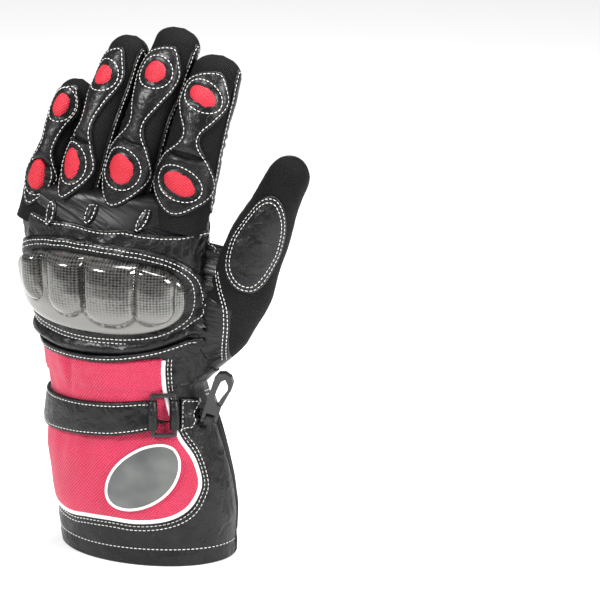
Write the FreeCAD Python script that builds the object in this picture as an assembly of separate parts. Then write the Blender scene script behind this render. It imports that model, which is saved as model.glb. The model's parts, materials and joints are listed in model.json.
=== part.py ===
import FreeCAD, Part
import math
import os

V = FreeCAD.Vector

# Driving dimensions, in millimetres and degrees.
# The glove stands on its cuff: +Z to the fingertips, -Y the back of the hand, +X the thumb side.
# Stations of the cuff and hand tube: height, centre x, half width, half depth.
TUBE_STATIONS = [
    (-8, -1.0, 51.5, 35.0),
    (0, -1.0, 51.5, 35.0),
    (12, -1.8, 53.3, 35.5),
    (28, -1.9, 53.8, 35.3),
    (45, -3.5, 53.3, 34.2),
    (60, -6.5, 52.3, 33.0),
    (75, -8.5, 50.0, 31.0),
    (90, -10.0, 46.7, 29.0),
    (104, -12.0, 45.2, 28.0),
    (118, -14.0, 46.6, 28.0),
    (135, -16.5, 49.2, 28.0),
    (160, -18.5, 51.8, 26.5),
    (185, -19.6, 55.2, 22.5),
    (206, -20.0, 56.6, 18.0),
    (220, -20.0, 56.8, 15.0),
]
SHELL = 1.6  # leather, red nylon and black textile
LINING = 4.6  # outer face to the inside of the padded lining
REACH = 120.0  # cutting solids run this far past the glove
GAP = 0.35  # half of the clearance at a flexible joint

WRIST = V(-12, 0, 104)
WRIST_BACK = 8.0
WRIST_PALM = 20.0

# One finger: knuckle point, lean to the thumb side, roll, lengths of the two lengths of tube,
# half widths at the knuckle, middle joint and tip, and depth against the index finger's.
FINGERS = {
    "index": (V(19.5, 1, 206), 9.3, 0, 43.0, 46.0, (16.6, 15.2, 13.3), 1.0),
    "middle": (V(-15, 1, 206), 13.6, -12, 47.0, 56.5, (14.0, 13.5, 13.0), 1.0),
    "ring": (V(-41.5, 1, 206), 13.6, -28, 44.0, 52.0, (11.2, 11.3, 11.4), 0.97),
    "little": (V(-66.4, 4, 200), 13.2, -14, 33.0, 39.0, (10.0, 9.7, 9.6), 0.88),
}
# Each finger's two oval pads: place as a share of the length, half width and half height.
PADS = {
    "index": ((0.35, 9.6, 7.2), (0.41, 9.2, 6.5)),
    "middle": ((0.41, 8.0, 9.9), (0.46, 7.0, 7.7)),
    "ring": ((0.41, 6.0, 10.0), (0.45, 6.3, 7.2)),
    "little": ((0.44, 5.5, 9.2), (0.51, 5.4, 8.0)),
}
FINGER_DEPTHS = (13.0, 12.2, 11.2)  # half depths at the same three places
LOWER_CURL = 12.0
UPPER_CURL = 30.0
KNUCKLE_RANGE = 60.0
MIDDLE_RANGE = 70.0
FINGER_WALL = 3.2
TIP_DOME = 11.0
ARMOUR = 1.4
PAD = 2.6

THUMB_POINT = V(53, 4, 164)
THUMB_LEAN = 23.0
THUMB_CURL = 6.0
THUMB_ROLL = 20.0
THUMB_RANGE = 35.0
THUMB_LENGTH = 82.0
THUMB_WALL = 3.4

BUCKLE_CENTRE = V(18.7, -27.05, 90)
BUCKLE_TURN = 24.2
BUCKLE_TILT = -10.0
BAR_OFFSET = 6.2
BAR_HALF_HEIGHT = 11.3
BAR_RADIUS = 1.3
EYE_INNER = 1.7
EYE_OUTER = 2.8
EYE_HEIGHT = 17.0

HOOK_POINT = V(40.5, -12.5, 84.5)
HOOK_LEAN = 20.0
HOOK_OUT = 6.0
HOOK_TURN = 14.0
HOOK_THICKNESS = 3.6

os.makedirs("parts", exist_ok=True)


def save(name, shape):
    """One sub-part goes to its own file, named after its node."""
    shape = shape.removeSplitter()
    if not shape.isValid() or shape.Volume <= 0:
        raise ValueError("bad solid: " + name)
    shape.exportStep("parts/" + name + ".step")
    print("%-24s %8.0f mm3  %d solid" % (name, shape.Volume, len(shape.Solids)))


def frame_at(point, lean, curl, roll=0.0):
    """A frame at a point, leaned to the thumb side, curled to the palm, then rolled about itself."""
    turn = FreeCAD.Rotation(V(0, 1, 0), lean)
    turn = turn.multiply(FreeCAD.Rotation(V(1, 0, 0), -curl))
    turn = turn.multiply(FreeCAD.Rotation(V(0, 0, 1), roll))
    return FreeCAD.Placement(point, turn)


def put(shape, frame):
    """A copy of a shape, moved from its own frame into the glove."""
    moved = shape.copy()
    moved.transformShape(frame.toMatrix(), True)
    return moved


def oval(half_x, half_y, z, centre_x=0.0):
    """A flat ellipse at a height, as a wire."""
    if half_x >= half_y:
        curve = Part.Ellipse(V(centre_x, 0, z), half_x, half_y)
    else:
        centre = V(centre_x, 0, z)
        curve = Part.Ellipse(V(centre_x, half_y, z), V(centre_x - half_x, 0, z), centre)
    return Part.Wire([curve.toShape()])


def tube(grow):
    """The smooth cuff and hand tube, grown or shrunk by a thickness."""
    wires = [oval(a + grow, b + grow, z, cx) for z, cx, a, b in TUBE_STATIONS]
    return Part.makeLoft(wires, True, False)


def back_y(x, z, grow):
    """How far back the grown tube's surface lies at one place on the back of the hand."""
    for (z0, cx0, a0, b0), (z1, cx1, a1, b1) in zip(TUBE_STATIONS, TUBE_STATIONS[1:]):
        if z0 <= z <= z1:
            share = (z - z0) / (z1 - z0)
            cx = cx0 + (cx1 - cx0) * share
            a = a0 + (a1 - a0) * share + grow
            b = b0 + (b1 - b0) * share + grow
            return -b * math.sqrt(max(0.0, 1 - ((x - cx) / a) ** 2))
    raise ValueError("no station at that height")


def box(x0, x1, y0, y1, z0, z1):
    """A cutting block between two corners."""
    return Part.makeBox(x1 - x0, y1 - y0, z1 - z0, V(x0, y0, z0))


def prism(wire, y0, y1):
    """An outline drawn in the XZ plane, drawn out along Y."""
    face = Part.Face(wire)
    solid = face.extrude(V(0, y1 - y0, 0))
    solid.translate(V(0, y0, 0))
    return solid


def polygon(points):
    """A closed straight-sided outline in the XZ plane."""
    corners = [V(x, 0, z) for x, z in points]
    return Part.makePolygon(corners + corners[:1])


def smooth_outline(points):
    """A closed round outline through points in the XZ plane."""
    curve = Part.BSplineCurve()
    curve.interpolate([V(x, 0, z) for x, z in points], PeriodicFlag=True)
    return Part.Wire([curve.toShape()])


def oval_edge(half_x, half_z, z):
    """An ellipse in the XZ plane, centred at a height, as an edge."""
    edge = Part.Ellipse(V(0, 0, 0), max(half_x, half_z), min(half_x, half_z)).toShape()
    edge.rotate(V(0, 0, 0), V(1, 0, 0), 90)
    if half_z > half_x:
        edge.rotate(V(0, 0, 0), V(0, 1, 0), 90)
    edge.translate(V(0, 0, z))
    return edge


def leaf(points):
    """A closed outline that is the same left and right, from half widths up its height."""
    right = [V(x, 0, z) for x, z in points]
    left = [V(-x, 0, z) for x, z in points]
    sides = []
    for side in (right, left):
        curve = Part.BSplineCurve()
        curve.interpolate(side)
        sides.append(curve.toShape())
    if points[-1][0] > 0:
        sides.insert(1, Part.LineSegment(right[-1], left[-1]).toShape())
    return Part.Wire(Part.__sortEdges__(sides))


def rounded_oblong(x0, x1, z0, z1, power=2.8, count=28):
    """A closed superellipse that fills a rectangle in the XZ plane."""
    points = []
    for i in range(count):
        angle = 2 * math.pi * i / count
        c = math.cos(angle)
        s = math.sin(angle)
        x = math.copysign(abs(c) ** (2 / power), c)
        z = math.copysign(abs(s) ** (2 / power), s)
        points.append(((x0 + x1) / 2 + x * (x1 - x0) / 2, (z0 + z1) / 2 + z * (z1 - z0) / 2))
    return smooth_outline(points)


def below(frame, back_angle, palm_angle, reach=REACH):
    """What a joint leaves under it: all that lies under a shallow roof along the hinge line."""
    back = -GAP - reach * math.tan(math.radians(back_angle))
    palm = -GAP - reach * math.tan(math.radians(palm_angle))
    points = [(-reach, -reach), (-reach, back), (0, -GAP), (reach, palm), (reach, -reach)]
    return roof(frame, points, reach)


def above(frame, back_angle, palm_angle, reach=REACH):
    """What a joint leaves over it: the mirror image of below."""
    back = GAP + reach * math.tan(math.radians(back_angle))
    palm = GAP + reach * math.tan(math.radians(palm_angle))
    points = [(-reach, reach), (-reach, back), (0, GAP), (reach, palm), (reach, reach)]
    return roof(frame, points, reach)


def roof(frame, points, reach):
    """A section in a joint's own YZ plane, drawn out both ways along its hinge line."""
    corners = [V(-reach, y, z) for y, z in points]
    face = Part.Face(Part.makePolygon(corners + corners[:1]))
    return put(face.extrude(V(2 * reach, 0, 0)), frame)


def ellipsoid(half_x, half_y, half_z, centre):
    """A round swelling with three half sizes."""
    ball = Part.makeSphere(1.0)
    matrix = FreeCAD.Matrix()
    matrix.scale(half_x, half_y, half_z)
    matrix.move(centre)
    return ball.transformGeometry(matrix)


# ---------------------------------------------------------------- cuff and hand tube
outer = tube(0)
shell_inside = tube(-SHELL)
cavity = tube(-LINING)
wrist_frame = FreeCAD.Placement(WRIST, FreeCAD.Rotation())
knuckle_frame = frame_at(V(0, 1, 206), 0, LOWER_CURL / 2)
little_frame = frame_at(V(0, 4, 200), 0, LOWER_CURL / 2)
NOTCH_BACK = 2.0
NOTCH_PALM = (WRIST_PALM + 2) / 2
cuff_room = below(wrist_frame, 0.5, NOTCH_PALM).common(box(-REACH, REACH, -REACH, REACH, 0, 140))
hand_room = above(wrist_frame, WRIST_BACK + NOTCH_BACK, NOTCH_PALM)
knuckle_cut = (KNUCKLE_RANGE + 2) / 2
hand_room = hand_room.common(below(knuckle_frame, 0, knuckle_cut))
LITTLE_EDGE = -54.5  # the hand stops lower where the little finger starts
little_block = box(-REACH, LITTLE_EDGE, -REACH, REACH, 150, 240)
hand_room = hand_room.cut(little_block.cut(below(little_frame, 0, knuckle_cut)))

BACK_HALF = box(-REACH, REACH, -REACH, 0, -20, 240)
PALM_HALF = box(-REACH, REACH, 0, REACH, -20, 240)

shell = outer.cut(shell_inside)
lining = shell_inside.cut(cavity)


def overlay(inner_grow, outer_grow, outline, palm=False):
    """A layer that lies on the tube, inside an outline seen from the back or the palm."""
    layer = tube(outer_grow).cut(outer if inner_grow == 0 else tube(inner_grow))
    cutter = prism(outline, 0, REACH) if palm else prism(outline, -REACH, 0)
    return layer.common(cutter)


# ---------------------------------------------------------------- thumb and its saddle
# Stations of the thumb in its own frame: height, half width, half depth.
THUMB_STATIONS = [(-10, 19.6, 15.6), (0, 19.5, 15.5), (30, 17.5, 14.0), (55, 14.5, 12.5)]
SADDLE = [(V(22, 0, 104), 30, 13.0, 13.0), (V(38, 2, 132), 27, 20.0, 15.0)]


DOME_SHARES = (0.0, 0.35, 0.6, 0.8, 0.93, 0.99)


def domed(stations, tip_half, length, dome, shrink):
    """Ellipse wires up a finger or thumb, closed by a round tip."""
    wires = [oval(a - shrink, b - shrink, z) for z, a, b in stations]
    tip = length - shrink
    base_a = tip_half[0] - shrink
    base_b = tip_half[1] - shrink
    for share in DOME_SHARES:
        scale = math.sqrt(1 - share * share)
        wires.append(oval(base_a * scale, base_b * scale, tip - dome * (1 - share)))
    return Part.makeLoft(wires, True, True)


def saddle(shrink):
    """The bulge of the palm that carries the thumb, from the wrist to the thumb's hinge."""
    wires = []
    for point, lean, a, b in SADDLE:
        wires.append(put(oval(a - shrink, b - shrink, 0), frame_at(point, lean, 0)))
    for height in (0, 12):
        ring = oval(19.5 - shrink, 15.5 - shrink, height)
        wires.append(put(ring, frame_at(THUMB_POINT, THUMB_LEAN, THUMB_CURL, THUMB_ROLL)))
    return Part.makeLoft(wires, True, True)


thumb_frame = frame_at(THUMB_POINT, THUMB_LEAN, THUMB_CURL, THUMB_ROLL)
thumb_cut = (THUMB_RANGE + 2) / 2
saddle_outer = saddle(0)
saddle_inner = saddle(THUMB_WALL)
saddle_room = hand_room.common(below(thumb_frame, 0, thumb_cut))
thumb_saddle = saddle_outer.cut(saddle_inner).cut(outer).common(saddle_room)

thumb_tip = (14.0, 12.0)
thumb_outer = domed(THUMB_STATIONS, thumb_tip, THUMB_LENGTH, 14.0, 0)
thumb_inner = domed(THUMB_STATIONS, thumb_tip, THUMB_LENGTH, 14.0, THUMB_WALL)
thumb_room = above(thumb_frame, 0, thumb_cut).cut(tube(1.5))


def half(shape, side):
    """The back half or the palm half of a tube in its own frame."""
    y0, y1 = (-REACH, 0) if side == "back" else (0, REACH)
    return shape.common(box(-REACH, REACH, y0, y1, -REACH, REACH))


thumb_shell = thumb_outer.cut(thumb_inner)
save("thumb_back", put(half(thumb_shell, "back"), thumb_frame).common(thumb_room))
save("thumb_palm", put(half(thumb_shell, "palm"), thumb_frame).common(thumb_room))
patch_outline = leaf([(0, 9), (9, 17), (12, 33), (8.5, 50), (0, 61)])
patch_top = domed([(z, a + 1.2, b + 1.2) for z, a, b in THUMB_STATIONS], (15.2, 13.2), 83.2, 14.0, 0)
thumb_patch = patch_top.cut(thumb_outer).common(prism(patch_outline, -REACH, 0))
save("thumb_patch", put(thumb_patch, thumb_frame).common(thumb_room))
save("thumb_saddle", thumb_saddle)

# ---------------------------------------------------------------- fingers


def armour_outline(length, pad, half_width, lower):
    """A lobed plate: a wide lobe round its pad and a narrow waist at the middle joint."""
    lobe = half_width * 0.9
    waist = 5.4
    if lower:
        points = [(0, -4), (lobe * 0.62, pad * 0.3), (lobe, pad), (lobe * 0.66, (pad + length) / 2)]
        return leaf(points + [(waist, length + 3)])
    points = [(0, length * 0.84), (lobe * 0.7, length * 0.74), (lobe, pad), (lobe * 0.7, pad * 0.4)]
    return leaf(points + [(waist, -3)])


for finger, values in FINGERS.items():
    knuckle, lean, roll, lower_length, upper_length, half_widths, size = values
    low_pad, high_pad = PADS[finger]
    lower_frame = frame_at(knuckle, lean, LOWER_CURL, roll)
    axis_frame = frame_at(knuckle, lean, LOWER_CURL)
    middle = axis_frame.multVec(V(0, 0, lower_length))
    upper_frame = frame_at(middle, lean, UPPER_CURL, roll)
    middle_joint = frame_at(middle, lean, (LOWER_CURL + UPPER_CURL) / 2)
    knuckle_joint = frame_at(knuckle, 0, LOWER_CURL / 2)
    middle_cut = (MIDDLE_RANGE + 2) / 2
    lower_room = above(knuckle_joint, 0, knuckle_cut).common(below(middle_joint, 0, middle_cut))
    upper_room = above(middle_joint, 0, middle_cut)
    base, waist, end = [(a, b * size) for a, b in zip(half_widths, FINGER_DEPTHS)]

    def lower_tube(grow):
        """The length of tube from the knuckle to the middle joint."""
        wires = [oval(base[0] + grow, base[1] + grow, z) for z in (-12, 6)]
        wires += [oval(waist[0] + grow, waist[1] + grow, lower_length + z) for z in (-6, 14)]
        return Part.makeLoft(wires, True, True)

    def upper_tube(grow):
        """The length of tube from the middle joint to the round tip."""
        rings = [(z, waist[0] + grow, waist[1] + grow) for z in (-14, 4)]
        tip = (end[0] + grow, end[1] + grow)
        return domed(rings, tip, upper_length + grow, TIP_DOME, 0)

    parts = {
        "lower": (lower_tube, lower_frame, lower_room, lower_length, low_pad, base[0]),
        "upper": (upper_tube, upper_frame, upper_room, upper_length, high_pad, waist[0]),
    }
    for level, (make, frame, room, length, (share, pad_x, pad_z), half_width) in parts.items():
        skin = make(0)
        wall = skin.cut(make(-FINGER_WALL))
        plate = make(ARMOUR)
        name = finger + "_" + level
        pad_height = length * share
        save(name + "_palm", put(half(wall, "palm"), frame).common(room))
        save(name + "_back", put(half(wall, "back"), frame).common(room))
        outline = prism(armour_outline(length, pad_height, half_width, level == "lower"), -REACH, -0.5)
        save(name + "_armour", put(plate.cut(skin).common(outline), frame).common(room))
        ring = prism(Part.Wire([oval_edge(pad_x, pad_z, pad_height)]), -REACH, -1)
        pad = make(PAD).cut(plate).common(ring)
        save(name + "_pad", put(pad, frame).common(room))

# ---------------------------------------------------------------- hand pieces
GUARD_BOX = (-69.0, 29.0, 135.0, 180.0)


def guard_outline(grow):
    """The rounded outline of the knuckle guard, grown by a margin."""
    x0, x1, z0, z1 = GUARD_BOX
    return rounded_oblong(x0 - grow, x1 + grow, z0 - grow, z1 + grow)


SEAM_Z = 194.0  # stitched line between the leather back and the knuckle textile
hand_shell = shell.cut(saddle_inner).common(hand_room)
hand_back = hand_shell.common(BACK_HALF)
red_block = box(-REACH, 15.0, -REACH, 0, 60, 121)
save("knuckle_textile", hand_back.common(box(-REACH, REACH, -REACH, 0, SEAM_Z, 240)))
save("red_wrist_panel", hand_back.common(red_block))
back_leather = hand_back.common(box(-REACH, REACH, -REACH, 0, 60, SEAM_Z)).cut(red_block)
save("back_leather", back_leather)
save("palm_leather", hand_shell.common(PALM_HALF))
save("hand_lining", lining.cut(saddle_inner).common(hand_room))

guard_edge = guard_outline(0)
FOAM_TOP = 3.0
GUARD_TOP = 9.0
GUARD_WALL = 2.4
guard_foam = overlay(0, FOAM_TOP, guard_edge).common(hand_room)
save("guard_foam", guard_foam)
guard = overlay(FOAM_TOP, GUARD_TOP, guard_edge)
hollow = tube(GUARD_TOP - GUARD_WALL).common(prism(guard_outline(-GUARD_WALL), -REACH, 0))
guard = guard.cut(hollow)
BUMPS = [(-58.0, 9.5), (-37.5, 10.5), (-13.5, 12.0), (12.5, 12.0)]  # centre x, half width
BUMP_DEPTH = 8.0
BUMP_PROUD = 3.2
BUMP_Z = 158.0
guard_skin = tube(GUARD_TOP - GUARD_WALL).common(prism(guard_edge, -REACH, 0))
for x, half_width in BUMPS:
    y = back_y(x, BUMP_Z, GUARD_TOP) + BUMP_DEPTH - BUMP_PROUD
    bump = ellipsoid(half_width, BUMP_DEPTH, 15.0, V(x, y, BUMP_Z))
    guard = guard.fuse(bump.cut(guard_skin).common(prism(guard_edge, -REACH, -8)))
save("knuckle_guard", guard)
surround = overlay(0, 2.2, guard_outline(6.5)).cut(prism(guard_edge, -REACH, 0))
save("guard_surround", surround.cut(saddle_outer).common(hand_room))

roll_points = [(-64, 120), (-52, 117.5), (-30, 118.5), (-6, 120.5), (14, 125), (33, 135)]
roll_points += [(36, 146), (20, 137), (-6, 131), (-40, 129), (-66, 132)]
wrist_roll = overlay(0, 6.0, polygon(roll_points)).cut(prism(guard_outline(6.5), -REACH, 0))
save("wrist_roll", wrist_roll.cut(saddle_outer).common(hand_room))

heel_points = [(-80, 115), (-54, 107), (-20, 107), (5, 108), (13, 116), (13, 128), (6, 136)]
heel_points += [(-9, 141), (-13, 151), (-18, 157), (-35, 156), (-50, 151)]
heel_points += [(-52, 166), (-48, 181), (-56, 192), (-80, 200)]
heel = overlay(0, 1.2, polygon(heel_points), palm=True)
save("palm_heel_patch", heel.cut(saddle_outer).common(hand_room))

# ---------------------------------------------------------------- cuff pieces
red_border = [(15.5, 110), (25.2, 77.7), (33.3, 64.5), (37.5, 51.4), (36.8, 43.4), (33.0, 35.8), (25.8, 30.5)]
red_border += [(15.8, 27.6), (2.9, 26.4), (-10.9, 26.9), (-26, 26.0), (-39.9, 24.6), (-56, 28.0), (-80, 30)]
red_area = prism(polygon(red_border + [(-80, 110)]), -REACH, 0)
cuff_shell = shell.common(cuff_room)
cuff_back = cuff_shell.common(BACK_HALF)
save("red_cuff_panel", cuff_back.common(red_area))
save("cuff_back_leather", cuff_back.cut(red_area))
save("cuff_palm_textile", cuff_shell.common(PALM_HALF))
save("cuff_lining", lining.common(cuff_room).common(box(-REACH, REACH, -REACH, REACH, 1.5, 140)))

piping_in = [(x - 1.8, z + 1.4) for x, z in red_border[1:]]
piping = prism(polygon(red_border[1:] + piping_in[::-1]), -REACH, 0)
PIPING_TOP = 1.1
piping_layer = tube(PIPING_TOP).cut(outer).common(piping)
save("white_piping", piping_layer.common(box(-56, REACH, -REACH, 0, 0, 76)))

emblem = Part.Ellipse(V(0, 0, 0), 25.0, 14.5).toShape()
emblem.rotate(V(0, 0, 0), V(1, 0, 0), 90)
emblem.rotate(V(0, 0, 0), V(0, 1, 0), -43)
emblem.translate(V(8, 0, 53))
save("emblem_patch", overlay(0, 1.0, Part.Wire([emblem])).cut(piping))

elastic_block = box(-REACH, REACH, 4, REACH, 70, 88)
save("wrist_elastic", tube(0.9).cut(outer).common(elastic_block))
tape_outline = polygon([(-56, 72.5), (5, 79.5), (5, 94.5), (-56, 88.5)])
save("strap_base_band", overlay(0, 1.6, tape_outline).common(box(-REACH, REACH, -REACH, -4, 0, 140)))

# ---------------------------------------------------------------- strap, buckle and tab
buckle_turn = FreeCAD.Rotation(V(0, 0, 1), BUCKLE_TURN)
buckle_turn = buckle_turn.multiply(FreeCAD.Rotation(V(1, 0, 0), BUCKLE_TILT))
buckle_frame = FreeCAD.Placement(BUCKLE_CENTRE, buckle_turn)


def rod(start, end, radius):
    """A round bar between two points, with round ends."""
    along = end.sub(start)
    bar = Part.makeCylinder(radius, along.Length, start, along)
    for point in (start, end):
        bar = bar.fuse(Part.makeSphere(radius, point))
    return bar


corners = [(-BAR_OFFSET, -BAR_HALF_HEIGHT), (BAR_OFFSET, -BAR_HALF_HEIGHT)]
corners += [(BAR_OFFSET, BAR_HALF_HEIGHT), (-BAR_OFFSET, BAR_HALF_HEIGHT)]
buckle = None
for i, (x, z) in enumerate(corners):
    next_x, next_z = corners[(i + 1) % 4]
    side = rod(V(x, 0, z), V(next_x, 0, next_z), BAR_RADIUS)
    buckle = side if buckle is None else buckle.fuse(side)
save("buckle", put(buckle, buckle_frame))


def eye(offset):
    """A fold of strap round one upright bar of the buckle, as a solid roll and its hole."""
    foot = V(offset, 0, -EYE_HEIGHT / 2)
    roll = Part.makeCylinder(EYE_OUTER, EYE_HEIGHT, foot)
    hole = Part.makeCylinder(EYE_INNER, 3 * EYE_HEIGHT, V(offset, 0, -1.5 * EYE_HEIGHT))
    return put(roll, buckle_frame), put(hole, buckle_frame)


STRAP_UNDER = 2.9
STRAP_TOP = 5.0
strap_points = [(-70, 70.5), (-30, 74.0), (2, 77.5), (8, 81.8), (12.0, 82.2)]
strap_points += [(12.0, 98.2), (2, 97.0), (-30, 94.0), (-70, 91.0)]
strap = tube(STRAP_TOP).cut(tube(STRAP_UNDER)).common(prism(polygon(strap_points), -REACH, -4))
roll, hole = eye(-BAR_OFFSET)
save("strap", strap.fuse(roll).cut(hole))

tab_outline = polygon([(27.5, 80.5), (32.2, 79.6), (33.2, 96), (26.5, 97.5)])
tab = tube(1.8).cut(outer).common(prism(tab_outline, -REACH, 0))
roll, hole = eye(BAR_OFFSET)
tab_web = box(BAR_OFFSET + 0.8, BAR_OFFSET + 6.5, 0.6, 2.6, -EYE_HEIGHT / 2, EYE_HEIGHT / 2)
tab = tab.fuse(roll).fuse(put(tab_web, buckle_frame)).cut(hole).cut(outer)
save("buckle_tab", tab)

# ---------------------------------------------------------------- snap hook, gate and loop
hook_frame = frame_at(HOOK_POINT, HOOK_LEAN, -HOOK_OUT, HOOK_TURN)
outer_side = [(-4.6, 0), (-4.7, 16), (-4.8, 28), (-3.2, 32.8), (0.5, 34.2), (4.2, 32.8), (6.5, 29.2)]
nose = [(6.4, 23.6), (4.6, 23.8)]
inner_side = [(3.7, 27.2), (1.2, 30.2), (-0.6, 28.2), (-1.3, 22.2), (-1.2, 16.8), (0.6, 14.0), (1.6, 12.6)]
hook_points = outer_side + nose + inner_side + [(4.2, 12.2), (4.6, 0)]
hook_body = prism(polygon(hook_points), -HOOK_THICKNESS / 2, HOOK_THICKNESS / 2)
window = box(-2.7, 2.7, -5, 5, -3, 5.4)
hook_end = Part.makeCylinder(2.3, 9.2, V(-4.6, 0, 0), V(1, 0, 0))
hook_bar = Part.makeCylinder(1.4, 9.2, V(-4.6, 0, 0), V(1, 0, 0))
hook = hook_body.fuse(hook_end).cut(window).fuse(hook_bar)
save("snap_hook", put(hook, hook_frame))

gate_points = [(1.9, 12.9), (4.5, 12.6), (6.1, 23.2), (4.7, 23.4), (2.6, 16.5)]
gate = prism(polygon(gate_points), -1.2, 1.2)
save("hook_gate", put(gate, hook_frame))

LOOP_LENGTH = 4.4
loop = Part.makeCylinder(3.0, LOOP_LENGTH, V(-LOOP_LENGTH / 2, 0, 0), V(1, 0, 0))
loop_hole = Part.makeCylinder(1.8, 3 * LOOP_LENGTH, V(-1.5 * LOOP_LENGTH, 0, 0), V(1, 0, 0))
tongue = box(-6.4, LOOP_LENGTH / 2, 2.9, 5.0, -3.0, 3.0)
stub = box(-LOOP_LENGTH / 2, LOOP_LENGTH / 2, 1.8, 4.0, -1.6, 1.6)
loop = put(loop.fuse(tongue).fuse(stub).cut(loop_hole), hook_frame).cut(outer)
save("hook_loop", loop)
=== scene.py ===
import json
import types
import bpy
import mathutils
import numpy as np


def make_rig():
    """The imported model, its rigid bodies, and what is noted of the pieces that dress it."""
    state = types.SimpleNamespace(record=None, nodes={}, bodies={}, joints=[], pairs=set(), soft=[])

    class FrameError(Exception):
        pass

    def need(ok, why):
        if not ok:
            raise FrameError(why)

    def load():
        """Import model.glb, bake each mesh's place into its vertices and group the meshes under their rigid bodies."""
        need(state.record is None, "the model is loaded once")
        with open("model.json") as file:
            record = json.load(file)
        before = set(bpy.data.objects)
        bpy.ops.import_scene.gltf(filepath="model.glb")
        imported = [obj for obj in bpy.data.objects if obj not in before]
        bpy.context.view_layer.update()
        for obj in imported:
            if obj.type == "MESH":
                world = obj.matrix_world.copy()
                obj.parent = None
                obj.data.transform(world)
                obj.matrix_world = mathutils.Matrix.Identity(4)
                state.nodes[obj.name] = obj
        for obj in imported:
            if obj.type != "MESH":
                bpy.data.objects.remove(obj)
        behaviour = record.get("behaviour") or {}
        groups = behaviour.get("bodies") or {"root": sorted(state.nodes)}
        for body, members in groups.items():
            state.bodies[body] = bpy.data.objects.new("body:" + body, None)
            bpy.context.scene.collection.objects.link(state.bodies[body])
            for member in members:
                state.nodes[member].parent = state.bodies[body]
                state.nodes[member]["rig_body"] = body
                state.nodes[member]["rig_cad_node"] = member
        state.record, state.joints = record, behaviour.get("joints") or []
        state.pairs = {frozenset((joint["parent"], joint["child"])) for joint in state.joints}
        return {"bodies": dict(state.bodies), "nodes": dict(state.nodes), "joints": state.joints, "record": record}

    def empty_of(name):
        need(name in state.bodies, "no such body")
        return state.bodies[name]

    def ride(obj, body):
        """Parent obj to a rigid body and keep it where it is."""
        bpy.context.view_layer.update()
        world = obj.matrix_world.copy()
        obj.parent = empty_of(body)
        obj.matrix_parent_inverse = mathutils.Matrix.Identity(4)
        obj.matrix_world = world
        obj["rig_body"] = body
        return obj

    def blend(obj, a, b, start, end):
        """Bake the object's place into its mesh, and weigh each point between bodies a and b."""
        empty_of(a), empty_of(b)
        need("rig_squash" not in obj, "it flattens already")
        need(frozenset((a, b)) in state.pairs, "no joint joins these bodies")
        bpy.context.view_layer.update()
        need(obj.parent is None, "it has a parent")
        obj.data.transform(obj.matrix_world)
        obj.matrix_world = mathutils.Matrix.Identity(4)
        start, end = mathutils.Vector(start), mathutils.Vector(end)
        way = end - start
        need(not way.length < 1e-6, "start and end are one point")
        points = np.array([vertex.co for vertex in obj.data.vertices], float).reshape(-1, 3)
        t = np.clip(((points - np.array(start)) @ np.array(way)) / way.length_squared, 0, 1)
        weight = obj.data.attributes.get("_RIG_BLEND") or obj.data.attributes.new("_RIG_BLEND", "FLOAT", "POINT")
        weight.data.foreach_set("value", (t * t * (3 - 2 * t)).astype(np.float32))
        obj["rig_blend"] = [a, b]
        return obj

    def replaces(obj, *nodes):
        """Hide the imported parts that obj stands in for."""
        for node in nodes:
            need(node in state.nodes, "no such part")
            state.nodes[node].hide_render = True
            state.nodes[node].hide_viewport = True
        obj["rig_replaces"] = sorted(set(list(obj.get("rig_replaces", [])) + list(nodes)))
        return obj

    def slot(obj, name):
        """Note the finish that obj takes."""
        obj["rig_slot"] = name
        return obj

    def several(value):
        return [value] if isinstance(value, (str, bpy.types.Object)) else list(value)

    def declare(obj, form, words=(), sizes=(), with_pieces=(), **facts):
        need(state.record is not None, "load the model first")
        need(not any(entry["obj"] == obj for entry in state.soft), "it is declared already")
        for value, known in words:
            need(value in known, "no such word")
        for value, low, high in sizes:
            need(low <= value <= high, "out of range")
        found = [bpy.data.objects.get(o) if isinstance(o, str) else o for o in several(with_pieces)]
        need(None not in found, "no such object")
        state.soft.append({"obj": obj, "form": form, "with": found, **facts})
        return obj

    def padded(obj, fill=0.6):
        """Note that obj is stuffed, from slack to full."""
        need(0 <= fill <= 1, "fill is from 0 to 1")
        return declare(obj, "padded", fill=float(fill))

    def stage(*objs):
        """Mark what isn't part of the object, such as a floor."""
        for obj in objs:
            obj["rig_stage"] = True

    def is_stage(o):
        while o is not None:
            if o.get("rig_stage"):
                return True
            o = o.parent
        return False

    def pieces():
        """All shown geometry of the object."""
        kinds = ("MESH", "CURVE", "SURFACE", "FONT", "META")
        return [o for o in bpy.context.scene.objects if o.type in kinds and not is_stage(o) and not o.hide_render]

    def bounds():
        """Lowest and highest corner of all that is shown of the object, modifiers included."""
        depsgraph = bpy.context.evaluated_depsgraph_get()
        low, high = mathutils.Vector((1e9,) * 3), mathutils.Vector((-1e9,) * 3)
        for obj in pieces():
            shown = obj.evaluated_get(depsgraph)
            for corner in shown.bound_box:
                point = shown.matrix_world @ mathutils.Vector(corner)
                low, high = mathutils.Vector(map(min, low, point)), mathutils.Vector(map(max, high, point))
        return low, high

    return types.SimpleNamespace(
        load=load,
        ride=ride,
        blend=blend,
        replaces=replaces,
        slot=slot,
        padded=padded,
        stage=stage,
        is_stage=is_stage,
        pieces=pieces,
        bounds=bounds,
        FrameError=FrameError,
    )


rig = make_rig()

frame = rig.load()
cad_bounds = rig.bounds()
import json
import math
import bmesh
import bpy
import numpy as np
from mathutils import Vector
from mathutils.bvhtree import BVHTree
from mathutils.geometry import delaunay_2d_cdt

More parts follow.
